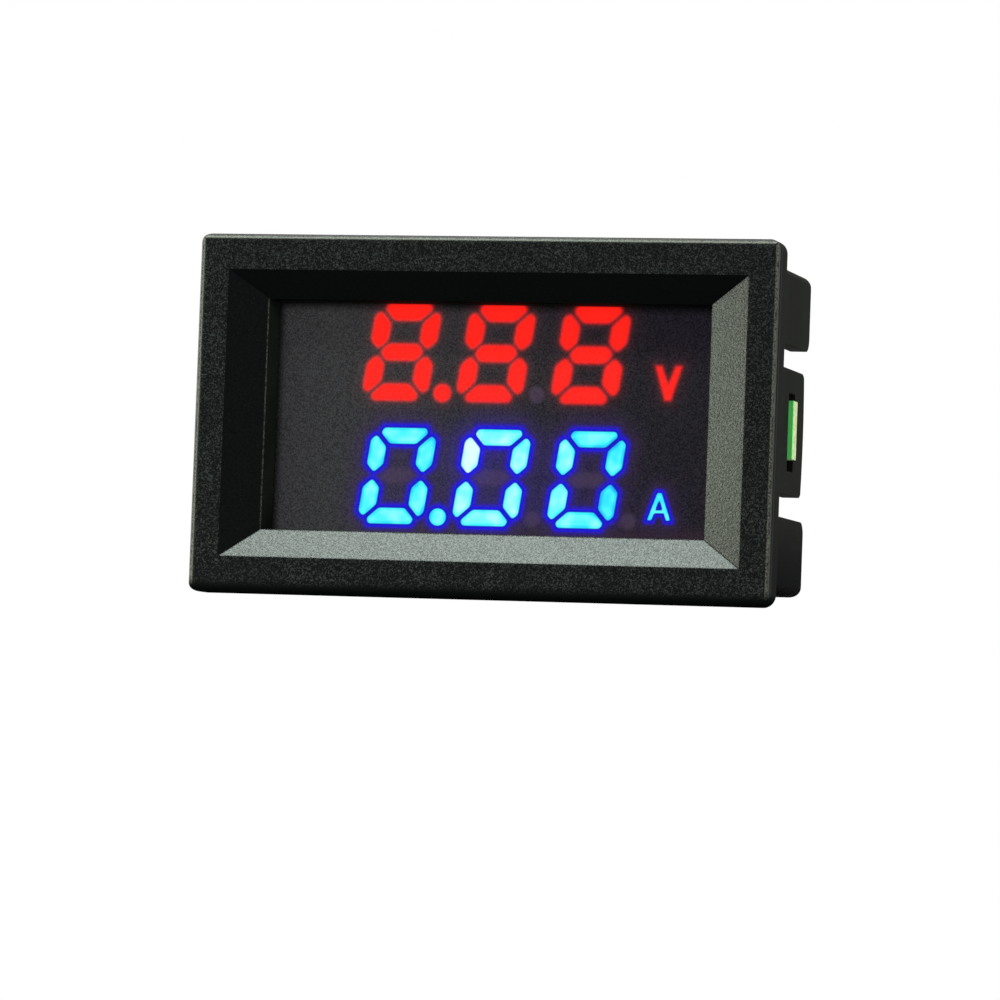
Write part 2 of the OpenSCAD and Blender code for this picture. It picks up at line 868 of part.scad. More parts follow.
module supply_pins() {
    color("#c9cacc")
        for (x = supply_xs)
            on_board(x, supply_z)
                square_pin(supply_pin_w, supply_pin_h);
}

// Bare wire bent into a bridge, with both legs through the board
module shunt() {
    bend_r = shunt_d;
    leg_h = shunt_rise - bend_r - shunt_d / 2;
    color("#b98a5a")
        on_board(current_x, shunt_z) {
            for (side = [-1, 1]) {
                translate([side * shunt_span / 2, 0, -board_t - header_pin_reach])
                    cylinder(d = shunt_d, h = board_t + header_pin_reach + leg_h);
                translate([side * (shunt_span / 2 - bend_r), 0, leg_h])
                    rotate([90, 0, side > 0 ? 0 : 180])
                        rotate_extrude(angle = 90)
                            translate([bend_r, 0])
                                circle(d = shunt_d);
            }
            translate([0, 0, leg_h + bend_r])
                rotate([0, 90, 0])
                    cylinder(d = shunt_d, h = shunt_span - 2 * bend_r, center = true);
        }
}

// ---- Trimmers ----

// Ceramic base with a track plate, side terminals and the rivet that holds the rotor
module trimmer_base() {
    terminal_w = trimmer_w / 4;
    block(trimmer_w, trimmer_l - 2 * lead_t, trimmer_base_h);
    for (side = [-1, 1])
        translate([0, side * (trimmer_l - lead_t) / 2, 0])
            block(side > 0 ? terminal_w : trimmer_w, lead_t + 2 * solder_clear, trimmer_base_h);
    cylinder(d = rivet_d, h = trimmer_base_h + rotor_clear + rotor_t);
}

// Round wiper with a cross for a screwdriver
module trimmer_rotor() {
    rotor_z = trimmer_base_h + rotor_clear;
    translate([0, 0, rotor_z])
        difference() {
            union() {
                cylinder(d = rotor_d, h = rotor_t * 0.6);
                cylinder(d1 = rotor_d * 0.9, d2 = rotor_d * 0.78, h = rotor_t);
            }
            translate([0, 0, -cut])
                cylinder(d = rivet_d + 2 * rotor_clear, h = rotor_t + 2 * cut);
            for (turn = [0, 90])
                rotate([0, 0, turn])
                    translate([0, 0, rotor_t - driver_slot_depth])
                        block(rotor_d * 0.7, driver_slot_w, rotor_t);
        }
}

module volt_trimmer_base() {
    color("#e9e6dc")
        on_board(volt_trimmer_x, trimmer_z)
            trimmer_base();
}

module volt_trimmer_rotor() {
    color("#c4c6c8")
        on_board(volt_trimmer_x, trimmer_z)
            trimmer_rotor();
}

module amp_trimmer_base() {
    color("#e9e6dc")
        on_board(amp_trimmer_x, trimmer_z)
            trimmer_base();
}

module amp_trimmer_rotor() {
    color("#c4c6c8")
        on_board(amp_trimmer_x, trimmer_z)
            trimmer_rotor();
}

// ---- Chips ----

// Moulded package whose sides lean in above and below the leads
module package(w, d, h) {
    lean = 0.12;
    mid = standoff + h / 2;
    top = standoff + h;
    intersection() {
        rotate([90, 0, 0])
            linear_extrude(height = d, center = true)
                polygon([[lean - w / 2, standoff], [w / 2 - lean, standoff], [w / 2, mid], [w / 2 - lean, top],
                    [lean - w / 2, top], [-w / 2, mid]]);
        rotate([90, 0, 90])
            linear_extrude(height = w, center = true)
                polygon([[lean - d / 2, standoff], [d / 2 - lean, standoff], [d / 2, mid], [d / 2 - lean, top],
                    [lean - d / 2, top], [-d / 2, mid]]);
    }
}

// Round mark pressed into the first corner of a package
module pin_mark(w, d, h) {
    translate([0.8 - w / 2, 0.8 - d / 2, standoff + h - 0.06])
        cylinder(d = 0.6, h = cut);
}

// Gull-wing lead from the middle of a package's side down to the board
module gull_lead(mid, w) {
    knee = lead_step;
    rotate([90, 0, 0])
        linear_extrude(height = w, center = true)
            polygon([[0, mid - lead_t / 2], [knee - lead_t, mid - lead_t / 2], [knee, 0], [lead_reach, 0],
                [lead_reach, lead_t], [knee + lead_t, lead_t], [knee, mid + lead_t / 2], [0, mid + lead_t / 2]]);
}

// Rows of leads along both long sides of a package
module lead_rows(d, h, count, pitch, w) {
    for (side = [-1, 1], i = [0 : count - 1])
        translate([(i - (count - 1) / 2) * pitch, side * d / 2, 0])
            rotate([0, 0, side * 90])
                gull_lead(standoff + h / 2, w);
}

module microcontroller() {
    color("#1d1e20")
        on_board(mcu_x, mcu_z)
            difference() {
                package(mcu_w, mcu_d, mcu_h);
                pin_mark(mcu_w, mcu_d, mcu_h);
            }
}

module microcontroller_leads() {
    color("#c9cacc")
        on_board(mcu_x, mcu_z)
            lead_rows(mcu_d, mcu_h, mcu_side_pins, mcu_pitch, mcu_lead_w);
}

module amplifier() {
    color("#1d1e20")
        on_board(amp_x, amp_z)
            difference() {
                package(amp_w, amp_d, amp_h);
                pin_mark(amp_w, amp_d, amp_h);
            }
}

module amplifier_leads() {
    color("#c9cacc")
        on_board(amp_x, amp_z)
            lead_rows(amp_d, amp_h, amp_side_pins, amp_pitch, amp_lead_w);
}

module regulator() {
    color("#1d1e20")
        on_board(regulator_x, regulator_z)
            package(regulator_w, regulator_d, regulator_h);
}

// Three legs on one side and the wide cooling tab on the other
module regulator_leads() {
    color("#c9cacc")
        on_board(regulator_x, regulator_z) {
            for (i = [-1 : 1])
                translate([i * regulator_leg_pitch, -regulator_d / 2 - regulator_tab_l / 2, 0])
                    block(regulator_leg_w, regulator_tab_l, standoff + lead_t + lead_t);
            translate([0, regulator_d / 2 + regulator_tab_l / 2, 0])
                block(regulator_tab_w, regulator_tab_l, standoff + lead_t + lead_t);
        }
}

module diode() {
    color("#1d1e20")
        on_board(diode_x, diode_z, 90)
            package(diode_l, diode_w, diode_h);
}

// Strap that folds under each end of a moulded two-terminal package
module end_straps(l, w, h) {
    for (side = [-1, 1])
        translate([side * (l + strap_t) / 2, 0, 0])
            block(strap_t, w * 0.55, standoff + h / 2 + strap_t);
}

module diode_terminals() {
    color("#c9cacc")
        on_board(diode_x, diode_z, 90)
            end_straps(diode_l, diode_w, diode_h);
}

module tantalum_capacitor() {
    color("#c98a2a")
        on_board(tantalum_x, tantalum_z)
            package(tantalum_l, tantalum_w, tantalum_h);
}

module tantalum_terminals() {
    color("#c9cacc")
        on_board(tantalum_x, tantalum_z)
            end_straps(tantalum_l, tantalum_w, tantalum_h);
}

// Runs its children at each digit driver's seat
module at_transistors() {
    for (i = [0 : transistor_count - 1])
        on_board((i - (transistor_count - 1) / 2) * transistor_pitch, transistor_z)
            children();
}

module digit_transistors() {
    color("#1d1e20")
        at_transistors()
            package(transistor_w, transistor_d, transistor_h);
}

module transistor_leads() {
    mid = standoff + transistor_h / 2;
    ratio = transistor_lead_scale;
    color("#c9cacc")
        at_transistors() {
            for (x = [-transistor_leg_x, transistor_leg_x])
                translate([x, transistor_d / 2, 0])
                    rotate([0, 0, 90])
                        scale(ratio)
                            gull_lead(mid / ratio, transistor_leg_w);
            translate([0, -transistor_d / 2, 0])
                rotate([0, 0, -90])
                    scale(ratio)
                        gull_lead(mid / ratio, transistor_leg_w);
        }
}

// Runs its children at each seat of a list of [x, z, turned]
module at_seats(seats) {
    for (seat = seats)
        on_board(seat[0], seat[1], seat[2] ? 90 : 0)
            children();
}

// Runs its children at each segment resistor
module at_segment_resistors() {
    for (i = [0 : resistor_count - 1])
        on_board(segment_row_x0 + i * resistor_pitch, resistor_z, 90)
            children();
}

// Ceramic body between the two caps of a chip
module chip_body() {
    block(chip_l - 2 * chip_cap, chip_w, chip_h);
}

module chip_caps() {
    for (side = [-1, 1])
        translate([side * (chip_l - chip_cap) / 2, 0, 0])
            block(chip_cap, chip_w, chip_h);
}

module chip_resistors() {
    color("#17181a") {
        at_seats(RESISTORS)
            chip_body();
        at_segment_resistors()
            chip_body();
    }
}

module chip_capacitors() {
    color("#b08d62")
        at_seats(CAPACITORS)
            chip_body();
}

module chip_terminals() {
    color("#c9cacc") {
        at_seats(RESISTORS)
            chip_caps();
        at_seats(CAPACITORS)
            chip_caps();
        at_segment_resistors()
            chip_caps();
    }
}

housing();
smoked_film();
display_body();
volt_bars();
volt_letter();
amp_bars();
amp_letter();
unlit_bars();
led_chips();
led_board();
potting();
display_pins();
main_board();
solder_joints();
current_header();
current_pins();
supply_header();
supply_pins();
shunt();
volt_trimmer_base();
volt_trimmer_rotor();
amp_trimmer_base();
amp_trimmer_rotor();
microcontroller();
microcontroller_leads();
amplifier();
amplifier_leads();
regulator();
regulator_leads();
diode();
diode_terminals();
tantalum_capacitor();
tantalum_terminals();
digit_transistors();
transistor_leads();
chip_resistors();
chip_capacitors();
chip_terminals();
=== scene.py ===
"""Finishes, lit display, board detail, light and camera of a digital panel meter."""
import logging
import math
from dataclasses import dataclass, field
from enum import Enum

import bmesh
import bpy
import numpy as np
from mathutils import Matrix, Vector


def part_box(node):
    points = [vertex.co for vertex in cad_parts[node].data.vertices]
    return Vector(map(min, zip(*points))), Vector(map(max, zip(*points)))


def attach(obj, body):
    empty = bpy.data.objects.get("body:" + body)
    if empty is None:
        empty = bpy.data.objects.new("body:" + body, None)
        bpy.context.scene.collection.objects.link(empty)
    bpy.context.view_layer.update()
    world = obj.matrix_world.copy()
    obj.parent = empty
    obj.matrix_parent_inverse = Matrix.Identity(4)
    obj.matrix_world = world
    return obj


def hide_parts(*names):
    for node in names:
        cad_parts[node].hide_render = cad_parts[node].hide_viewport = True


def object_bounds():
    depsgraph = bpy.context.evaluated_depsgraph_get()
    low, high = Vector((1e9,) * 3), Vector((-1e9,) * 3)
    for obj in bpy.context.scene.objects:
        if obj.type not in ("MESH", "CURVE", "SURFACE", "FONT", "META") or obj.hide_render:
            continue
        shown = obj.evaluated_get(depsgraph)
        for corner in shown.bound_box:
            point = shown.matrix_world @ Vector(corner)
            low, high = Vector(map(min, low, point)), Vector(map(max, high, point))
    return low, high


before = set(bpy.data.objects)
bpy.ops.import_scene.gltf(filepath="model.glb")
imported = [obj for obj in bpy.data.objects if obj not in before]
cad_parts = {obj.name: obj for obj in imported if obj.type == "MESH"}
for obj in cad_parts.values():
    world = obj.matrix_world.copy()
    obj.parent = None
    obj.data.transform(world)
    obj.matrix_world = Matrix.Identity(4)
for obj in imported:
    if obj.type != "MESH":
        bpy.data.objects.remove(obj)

LOG = logging.getLogger("panel_meter")
CAD_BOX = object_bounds()
MM = 0.001
# Farther than any distance on the meter, in millimetres.
FAR = 1e9
# Scale of the logistic step that comes closest to an edge with a blur of 1.
LOGISTIC_SCALE = math.sqrt(3) / math.pi
Point = tuple[float, float]
Colour = tuple[float, float, float, float]


class Body(Enum):
    """Bodies of the frame that pieces ride on."""

    METER = "meter"


class Blend(Enum):
    """Ways in which two colours are laid over each other."""

    MIX = "MIX"
    ADD = "ADD"


class Axis(Enum):
    """Axes of the part, named as the separating node names them."""

    X = "X"
    Y = "Y"
    Z = "Z"


def tint(red: int, green: int, blue: int) -> Colour:
    """Turn a colour as a painter writes it into the light values a shader takes.

    Args:
        red: Red from 0 to 255.
        green: Green from 0 to 255.
        blue: Blue from 0 to 255.

    Returns:
        The linear colour with full alpha.
    """
    def linear(part: float) -> float:
        """Undo the display curve on one part of a colour."""
        return part / 12.92 if part <= 0.04045 else ((part + 0.055) / 1.055) ** 2.4

    return (linear(red / 255), linear(green / 255), linear(blue / 255), 1.0)


def grey(level: int) -> Colour:
    """Return a neutral colour from one level between 0 and 255."""
    return tint(level, level, level)


class Wire:
    """A shader socket that takes part in ordinary arithmetic."""

    def __init__(self, graph: "Graph", socket: bpy.types.NodeSocket) -> None:
        """Hold one output socket of a graph."""
        self.graph = graph
        self.socket = socket

    def __add__(self, other: "Wire | float") -> "Wire":
        """Add a value."""
        return self.graph.maths("ADD", self, other)

    def __radd__(self, other: float) -> "Wire":
        """Add to a number."""
        return self.graph.maths("ADD", other, self)

    def __sub__(self, other: "Wire | float") -> "Wire":
        """Take a value away."""
        return self.graph.maths("SUBTRACT", self, other)

    def __rsub__(self, other: float) -> "Wire":
        """Take this from a number."""
        return self.graph.maths("SUBTRACT", other, self)

    def __mul__(self, other: "Wire | float") -> "Wire":
        """Multiply by a value."""
        return self.graph.maths("MULTIPLY", self, other)

    def __rmul__(self, other: float) -> "Wire":
        """Multiply a number."""
        return self.graph.maths("MULTIPLY", other, self)

    def __truediv__(self, other: "Wire | float") -> "Wire":
        """Divide by a value."""
        return self.graph.maths("DIVIDE", self, other)

    def __abs__(self) -> "Wire":
        """Drop the sign."""
        return self.graph.maths("ABSOLUTE", self, 0.0)

    def most(self, other: "Wire | float") -> "Wire":
        """Return the larger of two values."""
        return self.graph.maths("MAXIMUM", self, other)

    def ease(self, low: float, high: float, start: float = 0.0, end: float = 1.0) -> "Wire":
        """Map a range smoothly onto another and hold its ends.

        Args:
            low: Value that gives start.
            high: Value that gives end.
            start: Result at and below low.
            end: Result at and above high.

        Returns:
            The eased value.
        """
        return self.graph.node("ShaderNodeMapRange", {"interpolation_type": "SMOOTHSTEP"},
                               {"Value": self, "From Min": low, "From Max": high,
                                "To Min": start, "To Max": end})


class Graph:
    """The node tree of one material or of the world."""

    def __init__(self, tree: bpy.types.NodeTree) -> None:
        """Take over a tree and empty it."""
        self.tree = tree
        tree.nodes.clear()

    def node(self, kind: str, settings: dict, sockets: dict, output: int | str = 0) -> Wire:
        """Add one node.

        Args:
            kind: Type of the node.
            settings: Properties, set before the sockets; "stops" holds a ramp's stops.
            sockets: Values or wires by the name or number of the input.
            output: Name or number of the output to return.

        Returns:
            The output as a wire, or the first input of a node that has no output.
        """
        node = self.tree.nodes.new(kind)
        for name, value in settings.items():
            if name == "stops":
                self.fill_ramp(node.color_ramp, value)
            else:
                setattr(node, name, value)
        for name, value in sockets.items():
            if isinstance(value, Wire):
                self.tree.links.new(value.socket, node.inputs[name])
            else:
                node.inputs[name].default_value = value
        return Wire(self, node.outputs[output] if len(node.outputs) else node.inputs[0])

    @staticmethod
    def fill_ramp(ramp: bpy.types.ColorRamp, stops: list[tuple[float, Colour]]) -> None:
        """Write the stops of a colour ramp.

        Args:
            ramp: The ramp to fill.
            stops: Place between 0 and 1 and colour of each stop, in rising order.
        """
        while len(ramp.elements) > 1:
            ramp.elements.remove(ramp.elements[-1])
        ramp.elements[0].position, ramp.elements[0].color = stops[0]
        for place, colour in stops[1:]:
            ramp.elements.new(place).color = colour

    def maths(self, operation: str, left: Wire | float, right: Wire | float) -> Wire:
        """Add a Math node on two values."""
        return self.node("ShaderNodeMath", {"operation": operation}, {0: left, 1: right})

    def mix(self, amount: Wire | float, under: Wire | Colour, over: Wire | Colour,
            blend: Blend = Blend.MIX) -> Wire:
        """Lay one colour over another.

        Args:
            amount: Share of the upper colour.
            under: Lower colour.
            over: Upper colour.
            blend: How the two meet.

        Returns:
            The mixed colour.
        """
        settings = {"data_type": "RGBA", "blend_type": blend.value}
        return self.node("ShaderNodeMix", settings, {0: amount, 6: under, 7: over}, 2)

    def ramp(self, value: Wire, stops: list[tuple[float, Colour]]) -> Wire:
        """Colour a value between 0 and 1 by a ramp's stops."""
        return self.node("ShaderNodeValToRGB", {"stops": stops}, {"Fac": value}, "Color")

    def over(self, amount: Wire, under: Wire, upper: Wire) -> Wire:
        """Lay one shader over another."""
        return self.node("ShaderNodeMixShader", {}, {0: amount, 1: under, 2: upper})

    def place(self) -> Wire:
        """Return the place on the object in metres."""
        return self.node("ShaderNodeTexCoord", {}, {}, "Object")

    def along(self, axis: Axis) -> Wire:
        """Return one part of the place on the object, in metres."""
        return self.node("ShaderNodeSeparateXYZ", {}, {0: self.place()}, axis.value)

    def facing(self, axis: Axis) -> Wire:
        """Return one part of the surface's own direction."""
        normal = self.node("ShaderNodeTexCoord", {}, {}, "Normal")
        return self.node("ShaderNodeSeparateXYZ", {}, {0: normal}, axis.value)

    def noise(self, size: float, detail: float = 2.0, rough: float = 0.5) -> Wire:
        """Return cloudy noise.

        Args:
            size: Size of one cloud in metres.
            detail: Number of finer layers.
            rough: Strength of the finer layers.

        Returns:
            A value around 0.5.
        """
        return self.node("ShaderNodeTexNoise", {},
                         {"Vector": self.place(), "Scale": 1 / size, "Detail": detail, "Roughness": rough})

    def stored(self, name: str) -> Wire:
        """Return a value that is stored on the mesh's points."""
        return self.node("ShaderNodeAttribute", {"attribute_name": name}, {}, "Fac")

    def relief(self, height: Wire, depth: float, edge: float = 0.0) -> Wire:
        """Turn a height into a bumped direction, over softened edges where they are asked for.

        Args:
            height: Height between 0 and 1.
            depth: Height of a full step in metres.
            edge: Radius in metres that sharp edges look rounded to.

        Returns:
            The direction of the surface.
        """
        sockets = {"Strength": 1.0, "Distance": depth, "Height": height}
        if edge:
            sockets["Normal"] = self.node("ShaderNodeBevel", {"samples": 4}, {"Radius": edge})
        return self.node("ShaderNodeBump", {}, sockets)

    def surface(self, sockets: dict) -> Wire:
        """Add the main surface shader with its values and wires."""
        return self.node("ShaderNodeBsdfPrincipled", {}, sockets)

    def finish(self, shader: Wire, kind: str = "ShaderNodeOutputMaterial") -> None:
        """Lead a shader to the output of the tree."""
        self.node(kind, {}, {"Surface": shader})


@dataclass(frozen=True)
class Finish:
    """A finish that any piece can take."""

    name: str

    def wire(self, graph: Graph) -> Wire:
        """Build the shader of the finish."""
        raise NotImplementedError

    def material(self) -> bpy.types.Material:
        """Build the finish's material on first use.

        Returns:
            The material, which pieces of one finish share.
        """
        found = bpy.data.materials.get(self.name)
        if found:
            return found
        made = bpy.data.materials.new(self.name)
        made.use_nodes = True
        graph = Graph(made.node_tree)
        graph.finish(self.wire(graph))
        return made


@dataclass(frozen=True)
class MouldedBlack(Finish):
    """Black plastic: spark-grained front, satin bevel, rolled edge with a painted highlight, matt sides,
    and painted shade low down and where faces look down.
    """

    pit: Colour = grey(1)
    face: Colour = tint(5, 6, 6)
    # Pale specks: partly the grain's own tone, partly painted glints of grain that catches the light.
    speck: Colour = tint(37, 39, 38)
    satin: Colour = tint(1, 2, 2)
    satin_speck: Colour = tint(10, 12, 12)
    side: Colour = tint(16, 18, 14)
    # Painted highlight: a pale colour along the middle of the rolled edge, where the lamps' reflection
    # falls.
    worn_and_highlit: Colour = tint(62, 62, 54)
    grain: float = 0.14 * MM
    mottle: float = 3.0 * MM
    cloud: float = 4.0 * MM
    depth: float = 0.004 * MM
    emboss: float = 0.012 * MM
    front_edge: float = 0.4 * MM
    bevel_edge: float = 0.2 * MM
    roll_edge: float = 0.1 * MM
    flank_edge: float = 0.15 * MM
    gloss: float = 0.05
    satin_gloss: float = 0.045
    roll_gloss: float = 0.08
    side_gloss: float = 0.03
    under_gloss: float = 0.008
    rim_start: float = 0.575 * MM
    rim_end: float = 0.475 * MM
    flange_start: float = -0.1 * MM
    flange_end: float = 0.3 * MM
    # Painted shade: the bezel's lowest band, next to the floor, is darkened.
    foot_low: float = 0.45 * MM
    foot_high: float = 1.15 * MM
    # Painted shade on the sleeve's lower part.
    shade_low: float = 1.5 * MM
    shade_high: float = 8.0 * MM
    # Painted shade: the matt sides darken towards their foot.
    foot_shade_low: float = -12.0 * MM
    foot_shade_high: float = -5.0 * MM
    # Place and width of a painted highlight line along the window's lip.
    lip: float = -1.3 * MM
    lip_core: float = 0.02 * MM
    lip_width: float = 0.05 * MM

    def front(self, graph: Graph) -> Wire:
        """Build the grained front: soft pale specks over a dark ground; the specks are partly grain tone
        and partly painted glints.

        Args:
            graph: The tree that is being built.

        Returns:
            The shader.
        """
        grain = graph.noise(self.grain, 3.0, 0.6)
        fine = graph.noise(self.grain * 0.8, 2.0)
        mottle = graph.noise(self.mottle, 2.0).ease(0.3, 0.7)
        colour = graph.mix(grain.ease(0.32, 0.62), self.pit, self.face)
        colour = graph.mix(fine.ease(0.45, 0.76) * (0.6 + mottle * 0.4), colour, self.speck)
        return graph.surface({
            "Base Color": colour,
            "Roughness": 0.2 + grain * 0.12,
            "Specular IOR Level": self.gloss,
            "Normal": graph.relief(grain + fine * 0.5, self.depth, self.front_edge)})

    def bevel(self, graph: Graph, gloss: float) -> Wire:
        """Build the smoother slopes that lead down to the window.

        Args:
            graph: The tree that is being built.
            gloss: Strength of its mirror light.

        Returns:
            The shader.
        """
        grain = graph.noise(self.grain * 1.3, 2.0, 0.6)
        rare = graph.noise(self.grain * 1.4, 2.0).ease(0.64, 0.8)
        return graph.surface({
            "Base Color": graph.mix(rare + grain * 0.2, self.satin, self.satin_speck),
            "Roughness": 0.14 + grain * 0.12,
            "Specular IOR Level": gloss,
            "Normal": graph.relief(grain, self.emboss, self.bevel_edge)})

    def roll(self, graph: Graph) -> Wire:
        """Build the rolled outer edge, with a painted highlight along its middle.

        Args:
            graph: The tree that is being built.

        Returns:
            The shader.
        """
        grain = graph.noise(self.grain, 3.0, 0.6)
        turn = graph.facing(Axis.Y)
        # Painted highlight: the pale colour goes on the middle band of the roll.
        middle = turn.ease(-0.995, -0.95) * turn.ease(-0.88, -0.7, 1.0, 0.0)
        worn_and_highlit = middle * grain.ease(0.42, 0.58, 0.15, 1.0)
        colour = graph.mix(grain.ease(0.4, 0.7), self.pit, self.face)
        return graph.surface({
            "Base Color": graph.mix(worn_and_highlit, colour, self.worn_and_highlit),
            "Roughness": 0.28 + grain * 0.16,
            "Specular IOR Level": self.roll_gloss,
            "Normal": graph.relief(grain, self.depth, self.roll_edge)})

    def flank(self, graph: Graph) -> Wire:
        """Build the plain matt sides, with painted shade that darkens them towards their foot.

        Args:
            graph: The tree that is being built.

        Returns:
            The shader.
        """
        grain = graph.noise(self.grain * 0.7, 2.0)
        cloud = graph.noise(self.cloud, 3.0).ease(0.3, 0.7)
        # Painted shade, darker towards the foot.
        painted_foot_shade = graph.along(Axis.Z).ease(self.foot_shade_low, self.foot_shade_high, 0.7, 0.0)
        colour = graph.mix(cloud * 0.4 + grain * 0.3, self.side, self.face)
        return graph.surface({
            "Base Color": graph.mix(painted_foot_shade, colour, self.pit),
            "Roughness": 0.72 + grain * 0.12,
            "Specular IOR Level": self.side_gloss,
            "Normal": graph.relief(grain, self.depth * 0.4, self.flank_edge)})

    def painted_shade(self, graph: Graph) -> Wire:
        """Build the painted shade: a nearly black look for faces that look down and for low places.

        Args:
            graph: The tree that is being built.

        Returns:
            The shader.
        """
        return graph.surface({
            "Base Color": graph.mix(graph.noise(self.grain, 2.0), self.satin, self.face),
            "Roughness": 0.7,
            "Specular IOR Level": self.under_gloss})

    def wear_and_highlight(self, graph: Graph, height: Wire, turn: Wire, up: Wire) -> Wire:
        """Find where the rolled edge's look goes, which carries a painted highlight.

        Args:
            graph: The tree that is being built.
            height: Place along Z.
            turn: How far the surface faces back.
            up: How far it faces up.

        Returns:
            1 on the roll round the front, which takes a painted highlight, up to 0.32 on a thin painted
            highlight line along the right lip, 0 elsewhere.
        """
        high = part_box("housing")[1]
        sides = abs(graph.along(Axis.X)).ease(high.x - self.rim_start, high.x - self.rim_end)
        rim = sides.most(height.ease(high.z - self.rim_start, high.z - self.rim_end))
        # No painted highlight where the roll faces down.
        rolled = turn.ease(-0.88, -0.8).most(turn.ease(-0.998, -0.985) * rim) * up.ease(-0.5, -0.2)
        rightwards = graph.facing(Axis.X)
        # Painted highlight: a thin line on the lip that faces right, towards the lamp.
        line = abs(graph.along(Axis.Y) - self.lip).ease(self.lip_core, self.lip_width, 0.32, 0.0)
        return rolled.most(line * rightwards.ease(0.15, 0.3) * rightwards.ease(0.5, 0.7, 1.0, 0.0))

    def wire(self, graph: Graph) -> Wire:
        """Choose the look by the way the surface faces and by its distance from the panel; faces that look
        down and low places take painted shade.

        Args:
            graph: The tree that is being built.

        Returns:
            The shader.
        """
        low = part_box("housing")[0]
        turn = graph.facing(Axis.Y)
        up = graph.facing(Axis.Z)
        height = graph.along(Axis.Z)
        bezel = graph.along(Axis.Y).ease(self.flange_start, self.flange_end, 1.0, 0.0)
        # Painted shade along the bezel's foot, next to the floor.
        foot = height.ease(low.z + self.foot_low, low.z + self.foot_high, 1.0, 0.0)
        # Painted shade on the sleeve, deeper towards its foot.
        shade = height.ease(low.z + self.shade_low, low.z + self.shade_high, 0.97, 0.0)
        # Faces that look down and low places take the painted shade.
        under = (up.ease(-0.4, -0.15, 1.0, 0.0).most(foot) * bezel).most((1.0 - bezel) * shade)
        patchy = graph.noise(self.grain, 2.0).ease(0.3, 0.7)
        dull = self.bevel(graph, self.satin_gloss * 0.7)
        satin = graph.over(patchy, dull, self.bevel(graph, self.satin_gloss * 1.3))
        forward = graph.over(turn.ease(-0.985, -0.965), self.front(graph), satin)
        shaped = graph.over(self.wear_and_highlight(graph, height, turn, up), forward, self.roll(graph))
        outward = turn.ease(-0.2, -0.05, 1.0, 0.0) * bezel
        return graph.over(under, graph.over(outward, self.flank(graph), shaped), self.painted_shade(graph))


